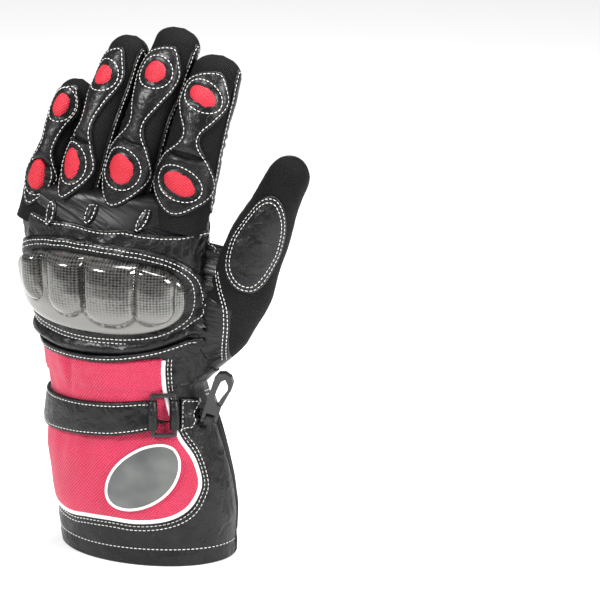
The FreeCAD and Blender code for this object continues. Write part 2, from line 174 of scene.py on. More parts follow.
# ---- hand form
# The shape that every cut piece of the glove is sewn round: an oval tube for the cuff and hand, a
# bent tube for each finger and one for the thumb. Lengths here are in millimetres.
STATIONS = np.array([
    (-8, -1.0, 51.5, 35.0), (0, -1.0, 51.5, 35.0), (12, -1.8, 53.3, 35.5), (28, -1.9, 53.8, 35.3),
    (45, -3.5, 53.3, 34.2), (60, -6.5, 52.3, 33.0), (75, -8.5, 50.0, 31.0), (90, -10.0, 46.7, 29.0),
    (104, -12.0, 45.2, 28.0), (118, -14.0, 46.6, 28.0), (135, -16.5, 49.2, 28.0), (160, -18.5, 51.8, 26.5),
    (185, -19.6, 55.2, 22.3), (196, -20.0, 56.2, 18.4), (206, -20.0, 56.4, 13.6)])
ROUND = 46.0  # mean radius of the hand, which turns an angle round it into a width


def turned(lean, curl, roll):
    """Columns are the across, depth and length directions after a lean, a curl and a roll."""
    a, b, c = np.radians(lean), np.radians(curl), np.radians(roll)
    leaned = np.array([[np.cos(a), 0, np.sin(a)], [0, 1, 0], [-np.sin(a), 0, np.cos(a)]])
    curled = np.array([[1, 0, 0], [0, np.cos(b), np.sin(b)], [0, -np.sin(b), np.cos(b)]])
    rolled = np.array([[np.cos(c), -np.sin(c), 0], [np.sin(c), np.cos(c), 0], [0, 0, 1]])
    return leaned @ curled @ rolled


class Form:
    """A tube with oval sections. A place on it is (u, s): width round from the back, length along."""

    def __init__(self, s, centres, turns, half_x, half_y, radius, swell=None):
        self.s = np.asarray(s, float)
        self.centres = np.asarray(centres, float)
        self.turns = np.asarray(turns, float).reshape(len(self.s), 9)
        self.half_x, self.half_y, self.radius, self.swell = half_x, half_y, radius, swell

    def place(self, u, s, lift=0.0):
        """Points at (u, s), lifted off the surface, and the directions straight out there."""
        u, s = np.asarray(u, float), np.asarray(s, float)
        angle = u / self.radius
        a = np.interp(s, self.s, self.half_x)
        b = np.interp(s, self.s, self.half_y)
        centre = np.stack([np.interp(s, self.s, self.centres[:, i]) for i in range(3)], -1)
        turn = np.stack([np.interp(s, self.s, self.turns[:, i]) for i in range(9)],
            -1).reshape(s.shape + (3, 3))
        sine, cosine = np.sin(angle), np.cos(angle)
        flat = np.stack([a * sine, -b * cosine, 0 * a], -1)
        out = np.stack([b * sine, -a * cosine, 0 * a], -1)
        out /= np.linalg.norm(out, axis=-1, keepdims=True)
        swell = self.swell(u, s) if self.swell else 0.0
        point = centre + np.einsum("...ij,...j->...i", turn, flat + out * (swell + lift)[..., None])
        return point, np.einsum("...ij,...j->...i", turn, out)


def waves(u, s, size, seed):
    """Soft wandering noise between about -1 and 1, from a few crossed waves."""
    draw = np.random.default_rng(seed)
    total = 0.0
    for k in range(6):
        way = draw.uniform(0, math.tau)
        scale = size * draw.uniform(0.6, 1.6)
        bend = 1.7 * np.sin((u * math.sin(way) - s * math.cos(way)) / (scale * 1.9) + draw.uniform(0, 6))
        total = total + np.sin((u * math.cos(way) + s * math.sin(way)) / scale * 2.2 + bend
            + draw.uniform(0, 6))
    return total / 3.2


def near(value, centre, width):
    """1 at a centre, falling smoothly to 0 over a width each way."""
    return np.exp(-((value - centre) / width) ** 2)


def step(value, low, high):
    """0 below low and 1 above high, smooth between."""
    t = np.clip((value - low) / (high - low), 0, 1)
    return t * t * (3 - 2 * t)


def hand_swell(u, s):
    """Slack, gathers and creases of the cuff and hand."""
    palm = step(np.abs(u), 60, 95)
    gathers = near(s, 82, 13) * palm * 1.7 * np.sin(u / 1.75 + 0.9 * np.sin(s / 9) + 0.6 * np.sin(u / 9))
    fan = near(s, 60, 20) * palm * 0.9 * np.sin(u / 4.4 + 0.9 * np.sin(s / 13 + 1))
    slack = 0.75 * waves(u, s * 0.8, 26, 3) * step(s, 4, 25)
    folds = (0.4 + 0.9 * near(s, 190, 11) * palm) * waves(u * 0.55, s * 1.9, 9, 5) * step(s, 95, 125)
    hem = 0.5 * (1 - step(s, 6, 8)) - 0.5 * near(s, 9.5, 1.8)
    rim = 0.6 * waves(u, s * 0, 30, 9) * (1 - step(s, 5, 40))
    return gathers + fan + slack + folds + hem + rim


cuff_s = np.arange(-8, 207, 2.0)
hand = Form(
    cuff_s, np.stack([np.interp(cuff_s, STATIONS[:, 0], STATIONS[:, 1]), 0 * cuff_s, cuff_s], -1),
    [np.eye(3)] * len(cuff_s), np.interp(cuff_s, STATIONS[:, 0], STATIONS[:, 2]),
    np.interp(cuff_s, STATIONS[:, 0], STATIONS[:, 3]), ROUND, hand_swell)

joint_at = {j["name"]: np.array(j["pos_m"]) * 1000 for j in frame["joints"]}
# Lean, roll, two lengths, half widths at the knuckle, middle joint and tip, and depth share.
FINGERS = {
    "index": (9.3, 0, 43.0, 46.0, (16.6, 15.2, 13.3), 1.0),
    "middle": (13.6, -12, 47.0, 56.5, (14.0, 13.5, 13.0), 1.0),
    "ring": (13.6, -28, 44.0, 52.0, (11.2, 11.3, 11.4), 0.97),
    "little": (13.2, -14, 33.0, 39.0, (10.0, 9.7, 9.6), 0.88),
}
PLUMP = 0.7  # how far the soft finger stands proud of the frame's tube
TIP = 11.0


def finger_form(name):
    """One finger: it curls a little at the knuckle, more past the middle joint, and ends in a dome."""
    lean, roll, low, high, widths, depth = FINGERS[name]
    s = np.append(np.arange(-16, low + high - 0.3, 1.0), low + high)
    curl = 12 + 18 * step(s, low - 11, low + 11)
    turns = [turned(lean, c, roll) for c in curl]
    path = np.zeros((len(s), 3))
    start = 16  # the knuckle's place in the list, after the length that is sunk in the hand
    path[start] = joint_at[name + "_knuckle_curl"]
    for i in range(start + 1, len(s)):
        path[i] = path[i - 1] + turns[i][:, 2] * (s[i] - s[i - 1])
    for i in range(start - 1, -1, -1):
        path[i] = path[i + 1] - turns[i][:, 2]
    knots = (0, low, low + high - TIP)
    half_x = np.interp(s, knots, [w + PLUMP for w in widths])
    half_y = np.interp(s, knots, [w * depth + PLUMP for w in (13.0, 12.2, 11.2)])
    dome = np.sqrt(np.clip(1 - (np.clip(s - (low + high - TIP), 0, TIP) / (TIP + 0.002)) ** 2, 0, 1))

    def swell(u, s):
        """Flexing folds inside the joints and slack elsewhere."""
        inside = step(np.abs(u), 16, 30)
        folds = sum(near(s, place, 9) * 0.7 * np.sin(s * 1.15 + 0.4 * np.sin(u / 5)) for place in (2, low))
        end = step(low + high - s, 0.5, 8)
        return (inside * folds + 0.3 * waves(u, s * 1.3, 8, len(name)) - 0.5 * near(s, low, 7)
            * (1 - inside)) * end

    return Form(s, path, turns, half_x * dome, half_y * dome, (widths[1] + 12.2 * depth) / 2 + PLUMP, swell)


forms = {name: finger_form(name) for name in FINGERS}

THUMB_TURN = turned(23.0, 6.0, 20.0)
THUMB_LENGTH = 82.0
SADDLE_TURN = turned(31.0, 2.0, 20.0)
BEND = -30.0  # the thumb's tube leans further over the ball of the thumb below here
thumb_s = np.concatenate([np.arange(-66, 76, 2.0), THUMB_LENGTH - 7 * np.cos(np.linspace(0.3, 1.57, 8))])
thumb_knots = (-66, -30, 0, 27, 38, 50, 62, 70)
thumb_dome = np.sqrt(np.clip(1 - (np.clip(thumb_s - 68, 0, 14) / 14.02) ** 2, 0, 1))
thumb_path = [
    joint_at["thumb_curl"] + max(s, BEND) * THUMB_TURN[:, 2] + min(s - BEND, 0) * SADDLE_TURN[:, 2]
    + 2.2 * near(s, -6, 22) * THUMB_TURN[:, 0] for s in thumb_s]


def thumb_swell(u, s):
    """Slack in the thumb's pieces."""
    bent = 0.5 * near(s, 46, 9) * np.sin(s * 0.9) * step(np.abs(u), 20, 34)
    return (0.5 * waves(u, s, 11, 11) + bent) * step(82 - s, 0.5, 8)


thumb = Form(
    thumb_s, thumb_path, [SADDLE_TURN if s < BEND else THUMB_TURN for s in thumb_s],
    np.interp(thumb_s, thumb_knots, (10, 18.5, 18.8, 17.2, 15.6, 13.8, 12.6, 12.2)) * thumb_dome,
    np.interp(thumb_s, thumb_knots, (10, 15.0, 16.2, 14.8, 14.2, 13.2, 12.2, 11.8)) * thumb_dome, 16.5,
    thumb_swell)

# ---- leather, cloth and thread finishes
# Each finish is made once. Patterns follow each piece's own flat pattern, held in millimetres in a
# UV map, so that the weave and grain keep their size wherever the piece turns.


class Wire:
    """One output of a material's nodes; sums written with it add Math nodes."""

    def __init__(self, tree, socket=None):
        self.tree = tree
        self.socket = socket

    def node(self, kind, settings=None, inputs=None, output=0):
        """Adds a node, sets it up, feeds its inputs and gives one of its outputs."""
        made = self.tree.nodes.new("ShaderNode" + kind)
        for key, value in (settings or {}).items():
            setattr(made, key, value)
        for key, value in (inputs or {}).items():
            if isinstance(value, Wire):
                self.tree.links.new(value.socket, made.inputs[key])
            else:
                made.inputs[key].default_value = value
        return Wire(self.tree, made.outputs[output])

    def math(self, operation, *values):
        return self.node("Math", {"operation": operation}, dict(enumerate(values)))

    def __add__(self, other):
        return self.math("ADD", self, other)

    def __sub__(self, other):
        return self.math("SUBTRACT", self, other)

    def __rsub__(self, other):
        return self.math("SUBTRACT", other, self)

    def __mul__(self, other):
        return self.math("MULTIPLY", self, other)

    __radd__ = __add__
    __rmul__ = __mul__

    def ramp(self, low, high):
        """0 up to low and 1 from high."""
        return self.node("MapRange", {"interpolation_type": "SMOOTHSTEP"},
            {"Value": self, "From Min": low, "From Max": high})

    def mix(self, first, second):
        """A colour between two, by this share."""
        return self.node("Mix", {"data_type": "RGBA"}, {"Factor": self, 6: first, 7: second}, 2)


def finish(name, build, **constants):
    """A material whose build function gives the inputs that change over the surface."""
    material = bpy.data.materials.new(name)
    material.use_nodes = True
    tree = material.node_tree
    shader = tree.nodes["Principled BSDF"]
    for key, value in constants.items():
        shader.inputs[key.replace("_", " ")].default_value = value
    wire = Wire(tree)
    flat = wire.node("Mapping", {}, {"Vector": wire.node("UVMap", {"uv_map": "flat"}),
        "Scale": (1000, 1000, 1000)})
    for key, value in build(wire, flat).items():
        if key == "Bump":
            value = wire.node("Bump", {}, {"Height": value[0], "Strength": 1.0, "Distance": value[1]})
            key = "Normal"
        if isinstance(value, Wire):
            tree.links.new(value.socket, shader.inputs[key])
        else:
            shader.inputs[key].default_value = value
    return material


def grey(level, tint=0.0):
    return (level, level, level + tint, 1)


def leather_nodes(dark, light, shine):
    """Fine pebbled grain, flexing creases, and a painted sheen: broad patches, placed at random, lighter and bluer in
    the colour.
    """
    def build(wire, flat):
        grain = wire.node("TexVoronoi", {"feature": "SMOOTH_F1"},
            {"Vector": flat, "Scale": 0.95, "Smoothness": 0.6})
        fine = wire.node("TexNoise", {}, {"Vector": flat, "Scale": 1.4, "Detail": 4.0})
        crease = wire.node("TexNoise", {}, {"Vector": flat, "Scale": 0.09, "Detail": 5.0, "Distortion": 1.2})
        # painted sheen: broad lighter, bluish patches in the base colour stand in for highlights on the leather
        painted_sheen = wire.node("TexNoise", {}, {"Vector": flat, "Scale": 0.045, "Detail": 3.0})
        soft = wire.node("TexNoise", {}, {"Vector": flat, "Scale": 0.07, "Detail": 2.5, "Distortion": 0.6})
        lines = crease.math("ABSOLUTE", crease - 0.5)
        valley = 1 - lines.ramp(0.0, 0.03)
        height = grain * 0.5 + fine * 0.35 - valley * 0.9 + soft * 14.0
        return {
            "Base Color": painted_sheen.ramp(0.35, 0.75).mix(dark, light),
            "Roughness": shine + fine * 0.16 + valley * 0.1,
            "Bump": (height, 0.00016)}
    return build


def weave_nodes(dark, light, pitch, depth, rough, slant=0.6):
    """Over-and-under threads of a coarse cloth, with slubs and a slow change of shade."""
    def build(wire, flat):
        turned_flat = wire.node("Mapping", {}, {"Vector": flat, "Rotation": (0, 0, slant)})
        over = wire.node("TexWave", {"bands_direction": "X"},
            {"Vector": turned_flat, "Scale": 0.314 / pitch, "Distortion": 0.5})
        under = wire.node("TexWave", {"bands_direction": "Y"},
            {"Vector": turned_flat, "Scale": 0.314 / pitch, "Distortion": 0.5})
        cell = over * under
        slub = wire.node("TexNoise", {}, {"Vector": flat, "Scale": 0.5, "Detail": 3.0})
        shade = wire.node("TexNoise", {}, {"Vector": flat, "Scale": 0.03, "Detail": 2.0})
        tone = cell * 0.7 + slub * 0.3 + shade * 0.35
        return {
            "Base Color": tone.ramp(0.15, 0.95).mix(dark, light),
            "Roughness": rough + slub * 0.1,
            "Bump": (cell + slub * 0.3, depth)}
    return build


leather = finish("black_leather", leather_nodes(grey(0.002, 0.0006), grey(0.010, 0.001), 0.27),
    Specular_IOR_Level=0.34)
soft_leather = finish("soft_black_leather", leather_nodes(grey(0.002, 0.0006), grey(0.008, 0.001), 0.31),
    Specular_IOR_Level=0.34)
cordura = finish("black_cordura", weave_nodes(grey(0.001), grey(0.020), 1.15, 0.0004, 0.62),
    Specular_IOR_Level=0.1)
red_nylon = finish("red_nylon", weave_nodes((0.36, 0.002, 0.03, 1), (0.86, 0.034, 0.13, 1), 1.25, 0.0004,
    0.55, 0.7), Sheen_Weight=0.15)
red_mesh = finish("red_mesh", weave_nodes((0.34, 0.0, 0.010, 1), (0.90, 0.018, 0.050, 1), 1.15, 0.0004, 0.5))
thread = finish("white_thread", lambda wire, flat: {"Base Color": (0.78, 0.77, 0.73, 1), "Roughness": 0.6})

# ---- sewn skin pieces
# A cut piece is a flat outline with a wall: it is meshed flat, laid on the form, rounded over at its
# edge and sunk along its stitch lines, then closed underneath so that it is a solid leaf of leather.
RIM_STEPS = (0.35, 0.9, 1.6, 2.4)


def round_line(points, closed=True, spacing=1.0):
    """A smooth line through a few points, with about even spacing."""
    pts = np.array(points, float)
    ring = np.vstack([pts[-1:], pts, pts[:2]]) if closed else np.vstack(
        [2 * pts[:1] - pts[1:2], pts, 2 * pts[-1:] - pts[-2:-1]])
    fine = []
    for p0, p1, p2, p3 in zip(ring, ring[1:], ring[2:], ring[3:]):
        t = np.linspace(0, 1, 24, endpoint=False)[:, None]
        fine.append(p1 + 0.5 * t * ((p2 - p0) + t * ((2 * p0 - 5 * p1 + 4 * p2 - p3) + t
            * (3 * p1 - p0 - 3 * p2 + p3))))
    return even_line(np.vstack(fine + ([] if closed else [pts[-1:]])), closed, spacing)


def even_line(points, closed=True, spacing=1.0):
    """The same line cut into even lengths."""
    pts = np.vstack([points, points[:1]]) if closed else np.array(points, float)
    run = np.concatenate([[0], np.cumsum(np.linalg.norm(np.diff(pts, axis=0), axis=1))])
    count = max(3, int(round(run[-1] / spacing)))
    at = np.linspace(0, run[-1], count + 1)[:-1 if closed else None]
    return np.stack([np.interp(at, run, pts[:, i]) for i in range(pts.shape[1])], -1)


def inset(line, distance, closed=True):
    """The line moved sideways: to the left of its direction by a distance."""
    ahead = np.roll(line, -1, 0) - np.roll(line, 1, 0)
    if not closed:
        ahead[0], ahead[-1] = line[1] - line[0], line[-1] - line[-2]
    ahead /= np.maximum(np.linalg.norm(ahead, axis=1, keepdims=True), 1e-9)
    return line + distance * np.stack([-ahead[:, 1], ahead[:, 0]], -1)


def turning_left(line):
    """The closed line, run so that its inside is on its left."""
    x, y = line[:, 0], line[:, 1]
    area = np.sum(x * np.roll(y, -1) - np.roll(x, -1) * y)
    return line if area > 0 else line[::-1]


def gap_to(points, line, closed=True):
    """Distance from each point to a line."""
    ends = np.roll(line, -1, 0) if closed else line[1:]
    starts = line if closed else line[:-1]
    along = ends - starts
    size = np.maximum(np.sum(along ** 2, 1), 1e-12)
    best = np.full(len(points), 1e9)
    for a, d, n in zip(starts, along, size):
        t = np.clip(((points - a) @ d) / n, 0, 1)
        best = np.minimum(best, np.sum((points - a - t[:, None] * d) ** 2, 1))
    return np.sqrt(best)


def within(points, line):
    """Which points lie inside a closed line."""
    inside = np.zeros(len(points), bool)
    x, y = points[:, 0], points[:, 1]
    for (x0, y0), (x1, y1) in zip(line, np.roll(line, -1, 0)):
        if y0 != y1:
            crosses = (y0 > y) != (y1 > y)
            inside ^= crosses & (x < (x1 - x0) * (y - y0) / (y1 - y0) + x0)
    return inside


def mesh_object(name, points, faces, flat, material, smooth_angle=50):
    """A named object from points in millimetres, with its flat pattern as a UV map."""
    mesh = bpy.data.meshes.new(name)
    mesh.from_pydata((np.asarray(points) / 1000).tolist(), [], [tuple(int(i) for i in f) for f in faces])
    mesh.materials.append(material)
    layer = mesh.uv_layers.new(name="flat")
    corner = np.zeros(len(mesh.loops), np.int32)
    mesh.loops.foreach_get("vertex_index", corner)
    layer.data.foreach_set("uv", (np.asarray(flat)[corner] / 1000).astype(np.float32).ravel())
    mesh.shade_smooth()
    mesh.set_sharp_from_angle(angle=math.radians(smooth_angle))
    made = bpy.data.objects.new(name, mesh)
    bpy.context.scene.collection.objects.link(made)
    return made


def skin_at(form, skin, u, s, lift):
    """Points lifted off a form, or off the sewn skin that already covers it."""
    point, out = form.place(u, s, lift * 0)
    if skin is not None:
        for i in range(len(point)):
            hit = skin.ray_cast(Vector(point[i] + out[i] * 9), Vector(-out[i]), 24)[0]
            if hit is not None:
                point[i] = hit
    return point + out * lift[:, None], out


def skin_of(obj):
    """What a row of stitches, or a piece laid on top, rests on."""
    return BVHTree.FromPolygons([v.co * 1000 for v in obj.data.vertices],
        [tuple(p.vertices) for p in obj.data.polygons])


def lay(name, form, outline, material, thick=1.3, under=-0.5, edge=None, holes=(), spacing=1.9,
        round_over=1.0,
        seams=(), height=None, skin=None):
    """Cuts a leaf to an outline and lays it on a form. height(u, s, d) adds padding or relief."""
    outline = turning_left(np.asarray(outline))
    lines = [outline] + [np.asarray(h) for h in holes]
    edge_lines = [np.asarray(edge)] if edge is not None else lines
    low, high = outline.min(0), outline.max(0)
    grid_u, grid_s = np.meshgrid(np.arange(low[0], high[0], spacing),
        np.arange(low[1], high[1], spacing * 0.87))
    grid_u[1::2] += spacing / 2
    inner = np.stack([grid_u.ravel(), grid_s.ravel()], -1)
    rims = []
    for line in lines:
        side = 1 if line is outline else -1
        for reach in RIM_STEPS:
            rims.append(inset(turning_left(line), side * reach))
    extra = np.vstack(rims)
    border = np.min([gap_to(extra, line) for line in lines], 0)
    keep = (border > 0.3) & within(extra, outline)
    extra = extra[keep]
    border = np.min([gap_to(inner, line) for line in lines], 0)
    inner = inner[within(inner, outline) & (border > RIM_STEPS[-1] + spacing * 0.4)]
    points = [tuple(p) for line in lines for p in line]
    edges = []
    count = 0
    for line in lines:
        edges += [(count + i, count + (i + 1) % len(line)) for i in range(len(line))]
        count += len(line)
    points += [tuple(p) for p in np.vstack([extra, inner])]
    flat, _, faces, _, _, _ = delaunay_2d_cdt([Vector(p) for p in points], edges, [], 0, 1e-5)
    flat = np.array([(p.x, p.y) for p in flat])
    faces = np.array([f for f in faces if len(f) == 3])
    middle = flat[faces].mean(1)
    good = within(middle, outline)
    for hole in holes:
        good &= ~within(middle, np.asarray(hole))
    faces = faces[good]
    corner = flat[faces]
    turn = np.cross(corner[:, 1] - corner[:, 0], corner[:, 2] - corner[:, 0])
    faces = faces[np.abs(turn) > 1e-7]
    turn = turn[np.abs(turn) > 1e-7]
    faces[turn < 0] = faces[turn < 0][:, ::-1]
    used, faces = np.unique(faces, return_inverse=True)
    faces = faces.reshape(-1, 3)
    flat = flat[used]
    u, s = flat.T
    gap = np.min([gap_to(flat, line) for line in edge_lines], 0)
    lift = thick * (0.45 + 0.55 * np.sqrt(1 - (1 - np.clip(gap / round_over, 0, 1)) ** 2))
    for seam in seams:
        lift = lift - 0.4 * near(gap, seam, 0.55)
    if height is not None:
        lift = lift + height(u, s, gap)
    top, _ = skin_at(form, skin, u, s, lift)
    floor = np.full(len(u), float(under)) if np.isscalar(under) else under(u, s, gap)
    bottom, _ = skin_at(form, skin, u, s, floor)
    pairs = {}
    for f in faces:
        for a, b in ((f[0], f[1]), (f[1], f[2]), (f[2], f[0])):
            pairs[(a, b)] = 1
    count = len(flat)
    every = [tuple(f) for f in faces] + [(f[2] + count, f[1] + count, f[0] + count) for f in faces]
    every += [(b, a, a + count, b + count) for a, b in pairs if (b, a) not in pairs]
    return mesh_object(name, np.vstack([top, bottom]), every, np.vstack([flat, flat]), material)


# ---- hand, thumb and cuff skins
# One skin of leather and cloth covers the hand, the ball of the thumb, the thumb and the cuff. It is
# cut at its seams into the back and palm of each, and each leaf gets its wall.
def closed_tube(form, s_list, count, top_rings=()):
    """Points and faces of a tube closed at both ends; top_rings are (scale, rise) above its last ring."""
    u = np.linspace(-math.pi, math.pi, count, endpoint=False) * form.radius
    grid_s, grid_u = np.meshgrid(s_list, u, indexing="ij")
    points, _ = form.place(grid_u, grid_s, 0 * grid_u)
    rings = list(points)
    heart = rings[-1].mean(0)
    for scale, rise in top_rings:
        rings.append(heart + (points[-1] - heart) * scale + np.array([0, 0, rise]))
    faces = []
    for i in range(len(rings) - 1):
        for j in range(count):
            k = (j + 1) % count
            faces.append((i * count + j, i * count + k, (i + 1) * count + k, (i + 1) * count + j))
    faces.append(tuple(range(count))[::-1])
    faces.append(tuple(range((len(rings) - 1) * count, len(rings) * count)))
    return np.vstack(rings), faces


def plain_mesh(obj):
    """The object's mesh with its modifiers worked in, and the modifiers taken off."""
    graph = bpy.context.evaluated_depsgraph_get()
    mesh = bpy.data.meshes.new_from_object(obj.evaluated_get(graph))
    obj.modifiers.clear()
    obj.data = mesh
    return obj


bodies = []
KNUCKLE_DOME = ((0.97, 2.2), (0.90, 4.2), (0.75, 5.8), (0.5, 6.8), (0.2, 7.0))
for form, s_list, rings in ((hand, cuff_s, KNUCKLE_DOME), (thumb, thumb_s, ())):
    points, faces = closed_tube(form, s_list, 120 if form is hand else 60, rings)
    bodies.append((points, faces))
shift = len(bodies[0][0])
joined_faces = bodies[0][1] + [tuple(i + shift for i in f) for f in bodies[1][1]]
joined_points = np.vstack([bodies[0][0], bodies[1][0]])
skin_form = mesh_object("skin_form", joined_points, joined_faces, joined_points[:, :2] * 0, leather)
remesh = skin_form.modifiers.new("remesh", "REMESH")
remesh.mode = "VOXEL"
remesh.voxel_size = 0.0016
smooth = skin_form.modifiers.new("smooth", "SMOOTH")
smooth.factor = 0.5
smooth.iterations = 7
plain_mesh(skin_form)
vertices = [v.co * 1000 for v in skin_form.data.vertices]
skin_polygons = [tuple(p.vertices) for p in skin_form.data.polygons]
hand_skin = BVHTree.FromPolygons(vertices, skin_polygons)


def flat_of(form, points, palm):
    """Where points near a form lie in its flat pattern."""
    if form is hand:
        s = points[:, 2]
        local = points - np.stack([np.interp(s, form.s, form.centres[:, 0]), 0 * s, s], -1)
    else:
        s = (points - joint_at["thumb_curl"]) @ THUMB_TURN[:, 2]
        local = (points - joint_at["thumb_curl"]) @ THUMB_TURN
    angle = np.arctan2(local[:, 0] / np.interp(s, form.s, form.half_x),
        -local[:, 1] / np.interp(s, form.s, form.half_y))
    if palm:
        angle = angle % math.tau
    return np.stack([angle * form.radius, s], -1)


def skin_leaf(name, material, planes, form, palm, wall=1.1):
    """The part of the skin on the inner side of each cutting plane, given as point and normal in mm."""
    made = bmesh.new()
    made.from_mesh(skin_form.data)
    for point, normal in planes:
        bmesh.ops.bisect_plane(
            made, geom=made.verts[:] + made.edges[:] + made.faces[:], dist=1e-6,
            plane_co=Vector(point) / 1000,
            plane_no=normal, clear_outer=True)
    mesh = bpy.data.meshes.new(name)
    made.to_mesh(mesh)
    made.free()
    points = np.array([v.co for v in mesh.vertices]) * 1000
    faces = [tuple(p.vertices) for p in mesh.polygons]
    obj = mesh_object(name, points, faces, flat_of(form, points, palm), material)
    solid = obj.modifiers.new("wall", "SOLIDIFY")
    solid.thickness = wall / 1000
    solid.offset = -1
    return plain_mesh(obj)


def over_wrist(obj):
    """A piece that bends with the wrist."""
    pivot = joint_at["wrist_flex"]
    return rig.blend(obj, "cuff", "hand", (pivot - (0, 0, 9)) / 1000, (pivot + (0, 0, 9)) / 1000)


def over_thumb(obj):
    """A piece that bends with the thumb."""
    pivot, way = joint_at["thumb_curl"], THUMB_TURN[:, 2]
    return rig.blend(obj, "hand", "thumb", (pivot - 10 * way) / 1000, (pivot + 14 * way) / 1000)


UP, DOWN, BACK, PALM = (0, 0, 1), (0, 0, -1), (0, 1, 0), (0, -1, 0)
RIM, SPLIT = (0, 0, 0), (0, 0, 88)
THUMB_CUT = joint_at["thumb_curl"] - 12 * THUMB_TURN[:, 2]
THUMB_BACK = THUMB_TURN[:, 1]
SADDLE_SIDE = (math.cos(0.12), 0, -math.sin(0.12))
SADDLE_EDGE = (48.5, 0, 104)
KNUCKLE_SEAM = (0, 0, 194)
below_thumb = (THUMB_CUT, THUMB_TURN[:, 2])
above_thumb = (THUMB_CUT, -THUMB_TURN[:, 2])
flipped = tuple(-c for c in SADDLE_SIDE)
skins = [
    ("cuff_back", leather, [(RIM, DOWN), (SPLIT, UP), (RIM, BACK)], hand, False, "cuff",
    ["cuff_back_leather"], "leather_black"),
    ("cuff_palm", cordura, [(RIM, DOWN), (SPLIT, UP), (RIM, PALM)], hand, True, "cuff",
    ["cuff_palm_textile"], "textile_black"),
    ("hand_back", leather, [(SPLIT, DOWN), (KNUCKLE_SEAM, UP), (RIM, BACK), (SADDLE_EDGE, SADDLE_SIDE),
    below_thumb], hand, False,
     "wrist", ["back_leather"], "leather_black"),
    ("hand_palm", soft_leather, [(SPLIT, DOWN), (RIM, PALM), (SADDLE_EDGE, SADDLE_SIDE), below_thumb], hand,
    True,
     "wrist", ["palm_leather"], "leather_black"),
    ("knuckle_cloth", cordura, [(KNUCKLE_SEAM, DOWN), (RIM, BACK), (SADDLE_EDGE, SADDLE_SIDE), below_thumb],
    hand, False,
     "hand", ["knuckle_textile"], "textile_black"),
    ("thumb_ball", cordura, [(SPLIT, DOWN), (SADDLE_EDGE, flipped), below_thumb], thumb, False,
     "wrist", ["thumb_saddle"], "textile_black"),
    ("thumb_back_cloth", cordura, [above_thumb, (THUMB_CUT, THUMB_BACK)], thumb, False, "thumb",
    ["thumb_back"], "textile_black"),
    ("thumb_palm_leather", soft_leather, [above_thumb, (THUMB_CUT, -THUMB_BACK)], thumb, True, "thumb",
    ["thumb_palm"], "leather_black"),
]
for name, material, planes, form, palm, carried, nodes, slot in skins:
    piece = skin_leaf(name, material, planes, form, palm)
    if carried == "wrist":
        over_wrist(piece)
    elif carried == "thumb":
        over_thumb(piece)
    else:
        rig.ride(piece, carried)
    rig.replaces(piece, *nodes)
    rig.slot(piece, slot)
    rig.padded(piece, 0.5)
bpy.data.objects.remove(skin_form)

# ---- camera, floor and light
# The glove stands on its cuff on a pale floor in a bright studio, seen a little from the thumb side.
VIEW_TURN, VIEW_RISE, LENS, WIDTH = 20.0, 20.0, 400.0, 0.342
HEART = 0.03  # the glove's middle is this far in front of the plane that the width is taken at
turn, rise = math.radians(VIEW_TURN), math.radians(VIEW_RISE)
toward = Vector((math.sin(turn) * math.cos(rise), -math.cos(turn) * math.cos(rise), math.sin(rise)))
camera = bpy.data.objects.new("camera", bpy.data.cameras.new("camera"))
camera.rotation_euler = toward.to_track_quat("Z", "Y").to_euler()
rightward, upward = camera.rotation_euler.to_matrix().col[0], camera.rotation_euler.to_matrix().col[1]
target = rightward * 0.0855 + upward * 0.1389
camera.location = target + toward * (WIDTH * LENS / 36 + HEART)
camera.data.lens = LENS
bpy.context.scene.collection.objects.link(camera)
bpy.context.scene.camera = camera

floor_mesh = bpy.data.meshes.new("floor")
FLOOR = 6.0
floor_mesh.from_pydata([(-FLOOR, -FLOOR, 0), (FLOOR, -FLOOR, 0), (FLOOR, FLOOR, 0), (-FLOOR, FLOOR, 0)], [],
    [(0, 1, 2, 3)])
floor = bpy.data.objects.new("floor", floor_mesh)
floor.location.z = -0.0004
floor_paint = finish(
    "pale_floor", lambda wire, flat: {"Base Color": (0.86, 0.86, 0.86, 1), "Roughness": 0.9},
    Emission_Color=(1, 1, 1, 1),
    Emission_Strength=0.2)
floor_mesh.materials.append(floor_paint)
bpy.context.scene.collection.objects.link(floor)
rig.stage(floor)
world = bpy.data.worlds.new("studio")
bpy.context.scene.world = world
world.use_nodes = True
world.node_tree.nodes["Background"].inputs["Color"].default_value = (1, 1, 1, 1)
world.node_tree.nodes["Background"].inputs["Strength"].default_value = 0.3
bpy.context.scene.view_settings.view_transform = "Standard"
for name, place, size, power in (
        ("key", (-0.6, -0.8, 1.0), 0.3, 17), ("side", (0.9, -0.2, 0.6), 0.35, 10),
        ("top", (0.1, 0.25, 1.0), 0.5, 10)):
    lamp = bpy.data.lights.new(name, "AREA")
    lamp.size, lamp.energy = size, power
    light = bpy.data.objects.new(name, lamp)
    light.location = place
    light.rotation_euler = (Vector(place) - Vector((0, 0, 0.15))).to_track_quat("Z", "Y").to_euler()
    bpy.context.scene.collection.objects.link(light)

# ---- finger skins
# Each finger is a cloth back and a leather palm side, sewn along its sides, cut again below the
# middle joint so that each length bends with its own joint.
SEAM_CUT = 11.0  # this far below the middle joint


